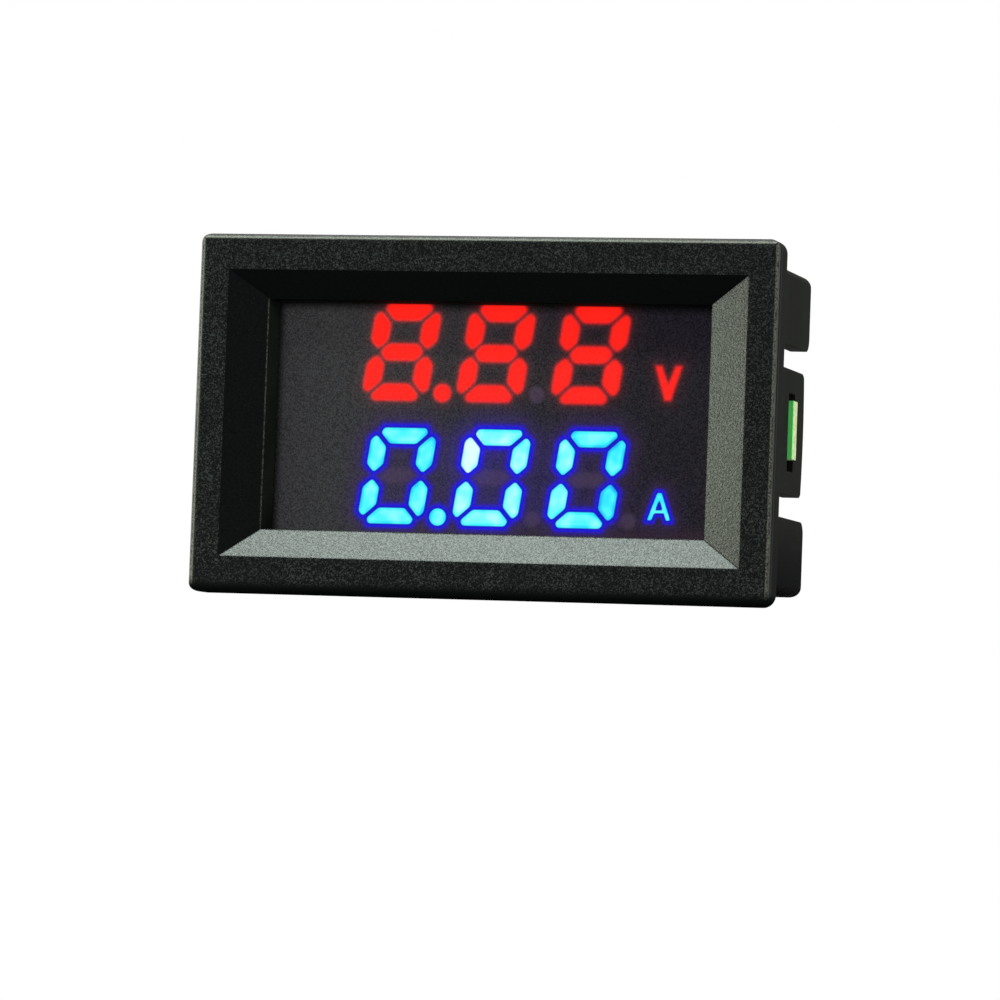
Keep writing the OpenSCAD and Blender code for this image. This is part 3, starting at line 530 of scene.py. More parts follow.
@dataclass(frozen=True)
class LitFilm(Finish):
    """Smoked film with the lit bars shining through it, and painted room light, shadow and reflection on
    it.
    """

    span_low: float = -0.6
    span_high: float = 1.6
    wall_near: float = 0.9 * MM
    wall_far: float = 1.9 * MM
    foot_far: float = 2.66 * MM
    fade: float = 16.0 * MM
    grain: float = 0.13 * MM
    cloud: float = 1.6 * MM
    drift: float = 1.5 * MM
    depth: float = 0.003 * MM

    def fringe(self, graph: Graph, distance: Wire, stops: list[tuple[float, Colour]]) -> Wire:
        """Colour the film by its distance from the lit bars.

        Args:
            graph: The tree that is being built.
            distance: Distance from the bars' edge in millimetres, negative inside them.
            stops: Distance in millimetres and colour of each stop.

        Returns:
            The colour of the light.
        """
        span = self.span_high - self.span_low
        placed = [((stop - self.span_low) / span, colour) for stop, colour in stops]
        return graph.ramp((distance - self.span_low) / span, placed)

    def red_light(self, graph: Graph) -> Wire:
        """Build the red row: full bars with a soft red fringe.

        Args:
            graph: The tree that is being built.

        Returns:
            The colour of its light.
        """
        return self.fringe(graph, graph.stored("volt_distance"), [
            (-0.6, tint(255, 32, 22)), (-0.07, tint(254, 28, 18)), (0.01, tint(226, 20, 14)),
            (0.11, tint(150, 14, 10)), (0.2, tint(88, 10, 8)), (0.34, tint(44, 7, 8)),
            (0.7, tint(18, 3, 5)), (1.5, grey(0))])

    def blue_light(self, graph: Graph) -> Wire:
        """Build the blue row: cyan cores, a deep blue edge and a wide violet halo.

        Args:
            graph: The tree that is being built.

        Returns:
            The colour of its light.
        """
        distance = graph.stored("amp_distance")
        drift = graph.noise(self.drift, 1.0).ease(0.3, 0.7, -0.14, 0.14)
        tone = graph.stored("amp_tone") + drift + distance.ease(-0.4, -0.1, 0.1, -0.1)
        core = graph.ramp(tone, [
            (0.0, tint(22, 176, 250)), (0.2, tint(46, 232, 253)), (0.32, tint(70, 248, 255)),
            (0.6, tint(136, 252, 254)), (0.95, tint(224, 255, 253))])
        halo = self.fringe(graph, distance, [
            (-0.07, grey(0)), (-0.01, tint(4, 20, 185)), (0.06, tint(8, 2, 200)),
            (0.16, tint(22, 6, 212)), (0.28, tint(28, 9, 194)), (0.37, tint(28, 10, 150)),
            (0.47, tint(22, 8, 98)), (0.6, tint(15, 6, 48)), (0.8, tint(9, 4, 24)), (1.2, grey(0))])
        return graph.mix(distance.ease(-0.09, 0.0, 1.0, 0.0), halo, core)

    def clear_of_walls(self, graph: Graph) -> Wire:
        """Keep the painted room light off the film close to the window's left and top walls: a painted
        shadow of the walls.

        Args:
            graph: The tree that is being built.

        Returns:
            1 in the open part of the window and 0 close to those walls.
        """
        low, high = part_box("smoked_film")
        left = graph.along(Axis.X).ease(low.x + self.wall_near, low.x + self.wall_far)
        top = graph.along(Axis.Z).ease(high.z - self.wall_far, high.z - self.wall_near, 1.0, 0.0)
        return left * top

    def painted_room_light(self, graph: Graph, grain: Wire) -> Wire:
        """Build the faint light that the room and the lit bars leave on the film, painted on it as its own
        glow.

        Args:
            graph: The tree that is being built.
            grain: The film's grain.

        Returns:
            Its colour: painted light, paler on the left; a painted purple reflection of the lower bevel at
                the foot; purple near the blue row and on unlit bars.
        """
        # Painted light: the film is paler on the left, where the light comes from.
        across = graph.along(Axis.X).ease(-self.fade, self.fade)
        dark = graph.mix(across, tint(26, 26, 27), tint(4, 2, 7))
        bright = graph.mix(across, tint(60, 60, 62), tint(32, 27, 38))
        painted_room_light = graph.mix(grain.ease(0.25, 0.75), dark, bright)
        unlit_bar = graph.stored("unlit_distance").ease(-0.25, 0.25, 0.5, 0.0)
        painted_room_light = graph.mix(unlit_bar, painted_room_light, tint(80, 63, 88))
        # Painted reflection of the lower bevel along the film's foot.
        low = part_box("smoked_film")[0]
        foot = graph.along(Axis.Z).ease(low.z + self.wall_near, low.z + self.foot_far, 0.5, 0.0)
        painted_room_light = graph.mix(foot * across, painted_room_light, tint(58, 36, 52))
        near = graph.stored("amp_distance").ease(0.3, 2.2, 0.4, 0.0)
        return graph.mix(near, painted_room_light, tint(50, 30, 60))

    def wire(self, graph: Graph) -> Wire:
        """Build the dark grainy film with the bars' light and its painted room light.

        Args:
            graph: The tree that is being built.

        Returns:
            The shader.
        """
        grain = graph.noise(self.grain, 3.0, 0.7)
        base = graph.mix(grain.ease(0.36, 0.66), grey(1), tint(13, 13, 13))
        base = graph.mix(graph.noise(self.cloud, 2.0) * 0.3, base, tint(5, 4, 6))
        off_volts = graph.stored("volt_distance").ease(-0.15, 0.1)
        unlit = off_volts * graph.stored("amp_distance").ease(0.12, 0.8)
        light = graph.mix(1.0, self.red_light(graph), self.blue_light(graph), Blend.ADD)
        # Painted room light, left off the lit bars and out of the walls' painted shadow.
        light = graph.mix(self.clear_of_walls(graph) * unlit, light, self.painted_room_light(graph, grain), Blend.ADD)
        light = graph.mix(graph.stored("amp_glow"), light, tint(6, 0, 222), Blend.ADD)
        return graph.surface({
            "Base Color": base,
            "Roughness": 0.36 + grain * 0.2,
            "Specular IOR Level": 0.03,
            "Emission Color": light,
            "Emission Strength": 1.0,
            "Normal": graph.relief(grain, self.depth)})


@dataclass(frozen=True)
class LitResin(Finish):
    """Diffusing resin of a bar that is lit."""

    glow: Colour = grey(255)
    body: Colour = grey(200)
    milk: Colour = grey(225)
    haze: float = 0.5 * MM

    def wire(self, graph: Graph) -> Wire:
        """Build a milky resin with a steady glow.

        Args:
            graph: The tree that is being built.

        Returns:
            The shader.
        """
        haze = graph.noise(self.haze, 2.0)
        return graph.surface({
            "Base Color": graph.mix(haze * 0.4, self.body, self.milk),
            "Roughness": 0.35 + haze * 0.2,
            "Emission Color": graph.mix(haze * 0.3, self.glow, self.body),
            "Emission Strength": 0.9})


@dataclass(frozen=True)
class Plastic(Finish):
    """Moulded or cast plastic with a fine grain and softened edges."""

    colour: Colour = grey(128)
    shade: Colour = grey(110)
    grain: float = 0.12 * MM
    depth: float = 0.004 * MM
    cloud: float = 1.2 * MM
    roughness: float = 0.45
    gloss: float = 0.5
    edge: float = 0.06 * MM

    def wire(self, graph: Graph) -> Wire:
        """Build the grain and a slow change of colour.

        Args:
            graph: The tree that is being built.

        Returns:
            The shader.
        """
        grain = graph.noise(self.grain, 2.0, 0.6)
        cloud = graph.noise(self.cloud, 3.0).ease(0.35, 0.7)
        return graph.surface({
            "Base Color": graph.mix(cloud * 0.6 + grain * 0.3, self.colour, self.shade),
            "Roughness": self.roughness - 0.08 + grain * 0.16,
            "Specular IOR Level": self.gloss,
            "Normal": graph.relief(grain, self.depth, self.edge)})


@dataclass(frozen=True)
class BandedPackage(Plastic):
    """A moulded package with a printed band across one end."""

    grain: float = 0.05 * MM
    roughness: float = 0.5
    gloss: float = 0.4
    edge: float = 0.04 * MM
    band: Colour = grey(200)
    axis: Axis = Axis.X
    start: float = 0.0
    end: float = 1.0 * MM
    soft: float = 0.03 * MM
    wear_and_highlight: float = 0.2 * MM

    def wire(self, graph: Graph) -> Wire:
        """Build the package and lay the band over it.

        Args:
            graph: The tree that is being built.

        Returns:
            The shader.
        """
        grain = graph.noise(self.grain, 2.0, 0.6)
        place = graph.along(self.axis)
        after_start = place.ease(self.start - self.soft, self.start + self.soft)
        before_end = place.ease(self.end - self.soft, self.end + self.soft, 1.0, 0.0)
        on_top = graph.facing(Axis.Y).ease(0.6, 0.9)
        worn_and_highlit = graph.noise(self.wear_and_highlight, 3.0).ease(0.18, 0.34)
        base = graph.mix(grain * 0.5, self.colour, self.shade)
        return graph.surface({
            "Base Color": graph.mix(after_start * before_end * on_top * worn_and_highlit, base, self.band),
            "Roughness": self.roughness - 0.08 + grain * 0.16,
            "Specular IOR Level": self.gloss,
            "Normal": graph.relief(grain, self.depth, self.edge)})


@dataclass(frozen=True)
class Metal(Finish):
    """Plain or plated metal with fine scratches and dull patches."""

    colour: Colour = grey(200)
    shade: Colour = grey(150)
    roughness: float = 0.28
    wear_and_highlight: float = 0.5 * MM
    depth: float = 0.003 * MM
    scratch: float = 0.05 * MM
    edge: float = 0.03 * MM

    def wire(self, graph: Graph) -> Wire:
        """Build patches of tarnish over a finely drawn surface.

        Args:
            graph: The tree that is being built.

        Returns:
            The shader.
        """
        patch = graph.noise(self.wear_and_highlight, 4.0, 0.6).ease(0.35, 0.7)
        fine = graph.noise(self.scratch, 2.0)
        return graph.surface({
            "Base Color": graph.mix(patch * 0.7, self.colour, self.shade),
            "Metallic": 1.0,
            "Roughness": self.roughness + patch * 0.18 + fine * 0.08,
            "Normal": graph.relief(fine + patch, self.depth, self.edge)})


SOLDER = Metal("solder", tint(196, 198, 198), tint(160, 162, 162), 0.24, 0.35 * MM, 0.006 * MM)


@dataclass(frozen=True)
class Laminate(Finish):
    """Glass laminate: lacquered faces over a faint weave, and a rough pale cut edge."""

    lacquer: Colour = tint(22, 104, 52)
    deep: Colour = tint(14, 80, 40)
    rim: Colour = tint(84, 196, 96)
    cut_edge: Colour = tint(150, 158, 96)
    fibre: Colour = tint(188, 190, 160)
    weave: float = 0.5 * MM
    cloud: float = 1.8 * MM
    splinter: float = 0.22 * MM
    smear: float = 1.2 * MM
    bright_start: float = 22.0 * MM
    bright_end: float = 22.4 * MM
    depth: float = 0.01 * MM
    gloss: float = 0.5

    def wire(self, graph: Graph) -> Wire:
        """Build the lacquer, the weave under it and the broken edge.

        Args:
            graph: The tree that is being built.

        Returns:
            The shader.
        """
        turn = 2 * math.pi / self.weave
        warp = graph.maths("SINE", graph.along(Axis.X) * turn, 0.0)
        weft = graph.maths("SINE", graph.along(Axis.Z) * turn, 0.0)
        weave = (warp * weft).ease(-1.0, 1.0)
        cloud = graph.noise(self.cloud, 3.0)
        ragged = graph.noise(self.splinter, 4.0, 0.7)
        cut = graph.mix(ragged.ease(0.35, 0.65), self.cut_edge, self.fibre)
        board_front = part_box("main_board")[0].y
        smear = (graph.along(Axis.Y) - board_front) / self.smear + (ragged - 0.5) * 1.6
        cut = graph.mix(smear.ease(0.2, 0.4, 0.9, 0.0), cut, self.rim)
        face = abs(graph.facing(Axis.Y)).ease(0.5, 0.8)
        lacquer = graph.mix(weave * 0.35 + cloud * 0.35, self.lacquer, self.deep)
        bright = abs(graph.along(Axis.X)).ease(self.bright_start, self.bright_end)
        lacquer = graph.mix(bright, lacquer, self.rim)
        return graph.surface({
            "Base Color": graph.mix(face, cut, lacquer),
            "Roughness": face.ease(0.0, 1.0, 0.85, 0.3) + cloud * 0.1,
            "Specular IOR Level": self.gloss,
            "Normal": graph.relief(ragged * (1 - face) * 4.0 + weave * face * 0.3, self.depth)})


@dataclass(frozen=True)
class Ink(Finish):
    """Printed ink or lacquer that lies thinly on the board."""

    colour: Colour = grey(235)
    under: Colour = tint(150, 190, 160)
    roughness: float = 0.5
    gap: float = 0.12 * MM

    def wire(self, graph: Graph) -> Wire:
        """Build slightly broken ink.

        Args:
            graph: The tree that is being built.

        Returns:
            The shader.
        """
        thin = graph.noise(self.gap, 3.0, 0.7).ease(0.45, 0.75)
        return graph.surface({
            "Base Color": graph.mix(thin * 0.6, self.colour, self.under),
            "Roughness": self.roughness + thin * 0.15})


@dataclass(frozen=True)
class StudioFloor(Finish):
    """Pale floor that keeps shadows and is open from below."""

    colour: Colour = tint(154, 149, 152)
    shade: Colour = tint(148, 143, 146)
    cloud: float = 20.0 * MM

    def wire(self, graph: Graph) -> Wire:
        """Build a matt floor whose underside lets everything through.

        Args:
            graph: The tree that is being built.

        Returns:
            The shader.
        """
        paper = graph.noise(self.cloud, 3.0)
        floor = graph.surface({
            "Base Color": graph.mix(paper * 0.3, self.colour, self.shade),
            "Roughness": 0.9,
            "Specular IOR Level": 0.1})
        clear = graph.node("ShaderNodeBsdfTransparent", {}, {"Color": grey(255)})
        below = graph.node("ShaderNodeNewGeometry", {}, {}, "Backfacing")
        return graph.over(below, floor, clear)


def lay(name: str, mesh: bpy.types.Mesh, finish: Finish) -> bpy.types.Object:
    """Put a mesh into the scene as a piece of the meter.

    Args:
        name: Name of the piece.
        mesh: Its mesh, in metres, in the part's frame.
        finish: Its finish.

    Returns:
        The new object.
    """
    piece = bpy.data.objects.new(name, mesh)
    bpy.context.scene.collection.objects.link(piece)
    mesh.materials.append(finish.material())
    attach(piece, Body.METER.value)
    LOG.info("piece %s: %d faces, finish %s", name, len(mesh.polygons), finish.name)
    return piece


@dataclass
class FlatShape:
    """Front outline of one CAD node, seen along Y, in millimetres."""

    node: str
    edges: np.ndarray | None = None
    front_depth: float = 0.01
    front_turn: float = -0.9

    def __post_init__(self) -> None:
        """Read the faces that look to the front and the edges round them."""
        if self.edges is not None:
            return
        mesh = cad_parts[self.node].data
        places = np.array([vertex.co[:] for vertex in mesh.vertices]) / MM
        front = places[:, 1].min() + self.front_depth
        faces = [face for face in mesh.polygons if face.normal.y < self.front_turn
                 and all(places[i][1] < front for i in face.vertices)]
        seen: dict[tuple, list] = {}
        for triangle in ([places[i][[0, 2]] for i in face.vertices] for face in faces):
            for start, end in ((0, 1), (1, 2), (2, 0)):
                ends = (tuple(np.round(triangle[start], 4)), tuple(np.round(triangle[end], 4)))
                seen.setdefault(tuple(sorted(ends)), []).append(ends)
        self.edges = np.array([found[0] for found in seen.values() if len(found) == 1])

    def distance(self, points: np.ndarray) -> np.ndarray:
        """Measure how far points lie from the outline.

        Args:
            points: Places in millimetres, one (x, z) a row.

        Returns:
            Distances in millimetres, negative inside the outline.
        """
        px, pz = points.T
        best = np.full(len(points), FAR)
        inside = np.zeros(len(points), dtype=bool)
        for (x0, z0), (x1, z1) in self.edges:
            dx, dz = x1 - x0, z1 - z0
            share = np.clip(((px - x0) * dx + (pz - z0) * dz) / (dx * dx + dz * dz), 0, 1)
            best = np.minimum(best, (px - x0 - share * dx) ** 2 + (pz - z0 - share * dz) ** 2)
            if dz:
                inside ^= ((z0 > pz) != (z1 > pz)) & (px < x0 + dx * (pz - z0) / dz)
        return np.where(inside, -np.sqrt(best), np.sqrt(best))

    def shapes(self) -> list["FlatShape"]:
        """Split the outline into its separate shapes.

        Returns:
            One outline a shape.
        """
        groups: list[list] = []
        for edge in self.edges:
            ends = {tuple(end) for end in edge}
            touching = [group for group in groups if group[0] & ends]
            groups = [group for group in groups if not group[0] & ends]
            groups.append([ends.union(*(group[0] for group in touching)),
                           [edge, *(old for group in touching for old in group[1])]])
        return [FlatShape(self.node, np.array(edges)) for _ends, edges in groups]

    def centre(self) -> np.ndarray:
        """Return the middle of the outline's points as (x, z)."""
        return self.edges.reshape(-1, 2).mean(axis=0)


@dataclass
class Display:
    """The film in the window and the light of the bars behind it, in millimetres."""

    step: float = 0.15
    finer: int = 3
    volt_blur: float = 0.18
    amp_blur: float = 0.11
    glow_blur: float = 1.2
    bloom: float = 0.06
    soft_near: float = 0.3
    soft_far: float = 0.5
    patch_reach: float = 1.2
    faintest: float = 1e-4
    digit_pitch: float = 0.73
    half_digit: float = 2.0
    row_tone: tuple[float, float, float] = (0.34, 0.53, 0.38)
    side_tone: tuple[float, float, float] = (0.02, -0.02, 0.14)
    hot_tone: float = 0.36
    letter_tone: float = 0.36
    letter_trim: float = 0.015
    letter_fall: float = 1.35
    count_x: int = field(init=False)
    count_z: int = field(init=False)

    def __post_init__(self) -> None:
        """Count the cells of the film's grid."""
        low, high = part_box("smoked_film")
        self.count_x = round((high.x - low.x) / MM / self.step)
        self.count_z = round((high.z - low.z) / MM / self.step)

    def grid(self, finer: int) -> tuple[np.ndarray, np.ndarray]:
        """Lay out the film's grid points.

        Args:
            finer: Number of steps to a cell of the film's mesh.

        Returns:
            Rows of X and rows of Z in metres.
        """
        low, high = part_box("smoked_film")
        return np.meshgrid(np.linspace(low.x, high.x, self.count_x * finer + 1),
                           np.linspace(low.z, high.z, self.count_z * finer + 1))

    @staticmethod
    def soften(values: np.ndarray, blur: float, cell: float) -> np.ndarray:
        """Blur a grid of values.

        Args:
            values: The grid.
            blur: Reach of the blur in millimetres.
            cell: Size of the grid's cells in millimetres.

        Returns:
            The blurred grid.
        """
        reach = round(3 * blur / cell)
        taps = np.exp(-0.5 * (np.arange(-reach, reach + 1) * cell / blur) ** 2)
        taps /= taps.sum()
        padded = np.pad(values, reach)
        for axis in (0, 1):
            padded = np.apply_along_axis(np.convolve, axis, padded, taps, "same")
        return padded[reach:-reach, reach:-reach]

    def spread(self, shapes: list[FlatShape], blur: float) -> np.ndarray:
        """Measure how far each grid point lies from some bars, with the bars' corners rounded.

        Close to its edge, a bar is blurred and its distance is read back from the blurred step.

        Args:
            shapes: Outlines of the bars.
            blur: Softness of the corners in millimetres.

        Returns:
            Distances in millimetres at the grid points, negative inside the bars.
        """
        xs, zs = self.grid(self.finer)
        points = np.column_stack([xs.ravel(), zs.ravel()]) / MM
        cell = self.step / self.finer
        nearest = np.full(xs.shape, FAR)
        for shape in shapes:
            sharp = shape.distance(points).reshape(xs.shape)
            close = sharp < self.patch_reach
            rows, columns = (np.flatnonzero(np.any(close, axis=axis)) for axis in (1, 0))
            patch = np.s_[rows[0]:rows[-1] + 1, columns[0]:columns[-1] + 1]
            cover = self.soften(np.clip(0.5 - sharp[patch] / cell, 0, 1), blur, cell)
            cover = np.clip(cover, self.faintest, 1 - self.faintest)
            soft = -LOGISTIC_SCALE * blur * np.log(cover / (1 - cover))
            share = (self.soft_far - np.abs(sharp[patch])) / (self.soft_far - self.soft_near)
            sharp[patch] += np.clip(share, 0, 1) * (soft - sharp[patch])
            nearest = np.minimum(nearest, sharp)
        return nearest[::self.finer, ::self.finer].ravel()

    def tones(self, centres: np.ndarray) -> np.ndarray:
        """Choose how bright each bar of the blue row is.

        Args:
            centres: Middles of the bars.

        Returns:
            One brightness a bar: the middle digit leads, and its upper left bar is the brightest.
        """
        pitch = np.abs(centres[:, 0]).max() * self.digit_pitch
        digit = np.clip(np.round(centres[:, 0] / pitch).astype(int) + 1, 0, 2)
        offset = centres[:, 0] - (digit - 1) * pitch
        sides = np.clip(offset / self.half_digit, -1, 1) * np.array(self.side_tone)[digit]
        tones = np.array(self.row_tone)[digit] - sides
        leading = (digit == 1) & (offset < 0)
        tones[np.where(leading, centres[:, 1], -FAR).argmax()] += self.hot_tone
        return tones

    def light(self) -> dict[str, np.ndarray]:
        """Work out the values that the film's finish reads, at the grid points.

        Returns:
            Distances from the volt bars, the ampere bars and the unlit bars, the ampere
            bars' brightness and their glow, each by the name it is stored under.
        """
        xs, zs = self.grid(1)
        points = np.column_stack([xs.ravel(), zs.ravel()]) / MM
        volt_letter = FlatShape("volt_letter").distance(points) + self.letter_trim
        amp_letter = FlatShape("amp_letter").distance(points) + self.letter_trim
        amp_letter *= np.where(amp_letter > 0, self.letter_fall, 1)
        bars = FlatShape("amp_bars")
        lit = bars.shapes()
        centres = np.array([shape.centre() for shape in lit])
        nearest = np.argmin([np.hypot(*(points - centre).T) for centre in centres], axis=0)
        tone = np.where(amp_letter < bars.distance(points), self.letter_tone, self.tones(centres)[nearest])
        volts = np.minimum(self.spread(FlatShape("volt_bars").shapes(), self.volt_blur), volt_letter)
        amps = np.minimum(self.spread(lit, self.amp_blur) - self.bloom, amp_letter)
        cover = np.clip(0.5 - amps / self.step, 0, 1) * tone ** 2
        glow = self.soften(cover.reshape(xs.shape), self.glow_blur, self.step).ravel()
        unlit = sorted(FlatShape("unlit_bars").shapes(), key=lambda shape: shape.centre().sum())
        # The point in the upper right, the last of them, is too dark to be seen.
        return {"volt_distance": volts, "amp_distance": amps, "amp_tone": tone, "amp_glow": glow,
                "unlit_distance": self.spread(unlit[:-1], self.volt_blur)}

    def film(self) -> bpy.types.Mesh:
        """Make the film's mesh: a fine grid in front and a fan behind it, joined round the rim.

        Returns:
            The mesh, with the grid's points first.
        """
        low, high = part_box("smoked_film")
        xs, zs = self.grid(1)
        across, up = self.count_x, self.count_z
        row = across + 1
        front = np.column_stack([xs.ravel(), np.full(xs.size, low.y), zs.ravel()])
        faces = [(j * row + i, j * row + i + 1, (j + 1) * row + i + 1, (j + 1) * row + i)
                 for j in range(up) for i in range(across)]
        last = row * up + across
        rim = (list(range(across)) + [j * row + across for j in range(up)]
               + [last - i for i in range(across)] + [(up - j) * row for j in range(up)])
        back = [(front[i][0], high.y, front[i][2]) for i in rim]
        first = len(front)
        middle = first + len(rim)
        for k, corner in enumerate(rim):
            after = (k + 1) % len(rim)
            faces.append((rim[after], corner, first + k, first + after))
            faces.append((first + after, first + k, middle))
        mesh = bpy.data.meshes.new("lit_film")
        centre = ((low.x + high.x) / 2, high.y, (low.z + high.z) / 2)
        mesh.from_pydata([*front.tolist(), *back, centre], [], faces)
        mesh.update()
        return mesh

    def build(self) -> None:
        """Put the film in place and store the light on its points."""
        mesh = self.film()
        for name, numbers in self.light().items():
            behind = len(mesh.vertices) - len(numbers)
            whole = np.pad(numbers, (0, behind), mode="edge").astype(np.float32)
            mesh.attributes.new(name, "FLOAT", "POINT").data.foreach_set("value", whole)
        film = lay("lit_film", mesh, LitFilm("smoked film, lit"))
        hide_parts("smoked_film")


@dataclass(frozen=True)
class Box:
    """Box of one solid in millimetres."""

    low: Vector
    high: Vector

    @property
    def x(self) -> float:
        """Middle along X."""
        return (self.low.x + self.high.x) / 2

    @property
    def z(self) -> float:
        """Middle along Z."""
        return (self.low.z + self.high.z) / 2


def solids(node: str) -> list[Box]:
    """Find the separate solids of a CAD node.

    Args:
        node: Name of the node.

    Returns:
        Their boxes in millimetres, from the lowest row up and from left to right.
    """
    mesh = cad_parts[node].data
    keys = [tuple(round(part / MM, 3) for part in vertex.co) for vertex in mesh.vertices]
    parent = {key: key for key in keys}

    def root(key: tuple) -> tuple:
        """Find the head of a point's group.

        Args:
            key: Rounded place of a point.

        Returns:
            The head of the group that the point is in.
        """
        while parent[key] != key:
            parent[key] = parent[parent[key]]
            key = parent[key]
        return key

    for face in mesh.polygons:
        first = root(keys[face.vertices[0]])
        for index in face.vertices[1:]:
            parent[root(keys[index])] = first
    groups: dict[tuple, list] = {}
    for key in parent:
        groups.setdefault(root(key), []).append(key)
    boxes = [Box(Vector(min(part) for part in zip(*group)), Vector(max(part) for part in zip(*group)))
             for group in groups.values()]
    return sorted(boxes, key=lambda box: (round(box.z, 1), box.x))


class Layer:
    """Thin shapes on the back of the main board, gathered in one mesh; sizes in millimetres."""

    CORNER_CUT = 0.12
    CROWN_GROWTH = 0.01
    CROWN_SHARE = 0.86
    LEAST_MITRE = 0.4

    def __init__(self, base: float) -> None:
        """Start an empty layer.

        Args:
            base: Y of the board's back in millimetres.
        """
        self.base = base
        self.mesh = bmesh.new()

    def prism(self, foot: list[Point], crown: list[Point], height: float) -> None:
        """Add a shape that runs from a foot outline to a crown outline.

        Args:
            foot: Outline on the board.
            crown: Outline at the top, with as many points.
            height: Height over the board.
        """
        low = [self.mesh.verts.new((x * MM, self.base * MM, z * MM)) for x, z in foot]
        high = [self.mesh.verts.new((x * MM, (self.base + height) * MM, z * MM)) for x, z in crown]
        count = len(foot)
        self.mesh.faces.new(high)
        self.mesh.faces.new(low[::-1])
        for i in range(count):
            j = (i + 1) % count
            self.mesh.faces.new((low[i], low[j], high[j], high[i]))

    def pad(self, box: Box, spread: float, height: float) -> None:
        """Add a solder fillet that climbs round a terminal.

        Args:
            box: Box of the terminal.
            spread: Reach of the foot beyond the terminal.
            height: Height of the fillet.
        """
        def ring(grow: float) -> list[Point]:
            """Outline the terminal with cut corners.

            Args:
                grow: Distance from the terminal.

            Returns:
                The points of the outline.
            """
            left, right = box.low.x - grow, box.high.x + grow
            down, up = box.low.z - grow, box.high.z + grow
            cut = min(self.CORNER_CUT, (right - left) / 4, (up - down) / 4)
            return [(left + cut, down), (right - cut, down), (right, down + cut), (right, up - cut),
                    (right - cut, up), (left + cut, up), (left, up - cut), (left, down + cut)]

        self.prism(ring(spread), ring(self.CROWN_GROWTH), height)

    def track(self, points: list[Point], width: float, height: float = 0.02) -> None:
        """Add a track along a line of points with mitred bends.

        Args:
            points: Points of its middle line.
            width: Width of the track.
            height: Height over the board.
        """
        places = [Vector(point) for point in points]
        sides: list[Vector] = []
        for i, place in enumerate(places):
            before = (place - places[i - 1]).normalized() if i else None
            after = (places[i + 1] - place).normalized() if i + 1 < len(places) else None
            first, last = before or after, after or before
            across = Vector((-(first + last).y, (first + last).x)).normalized()
            mitre = max(self.LEAST_MITRE, across.dot(Vector((-first.y, first.x))))
            sides.append(across * (width / 2) / mitre)
        left = [tuple(place + side) for place, side in zip(places, sides)]
        right = [tuple(place - side) for place, side in zip(places, sides)]
        for i in range(len(places) - 1):
            patch = [left[i], left[i + 1], right[i + 1], right[i]]
            self.prism(patch, patch, height)

    def disc(self, place: Point, radius: float, height: float = 0.03, sides: int = 16) -> None:
        """Add a round pad with a chamfered edge.

        Args:
            place: Its middle.
            radius: Radius of its foot.
            height: Height over the board.
            sides: Number of its sides.
        """
        def ring(reach: float) -> list[Point]:
            """Return points on a circle."""
            turns = [2 * math.pi * i / sides for i in range(sides)]
            return [(place[0] + reach * math.cos(turn), place[1] + reach * math.sin(turn))
                    for turn in turns]

        self.prism(ring(radius), ring(radius * self.CROWN_SHARE), height)

    def finish(self, name: str, look: Finish, slot: str) -> bpy.types.Object:
        """Turn the layer into a piece.

        Args:
            name: Name of the piece.
            look: Its finish.
            slot: Not used.

        Returns:
            The new object.
        """
        bmesh.ops.recalc_face_normals(self.mesh, faces=self.mesh.faces)
        mesh = bpy.data.meshes.new(name)
        self.mesh.to_mesh(mesh)
        self.mesh.free()
        return lay(name, mesh, look)


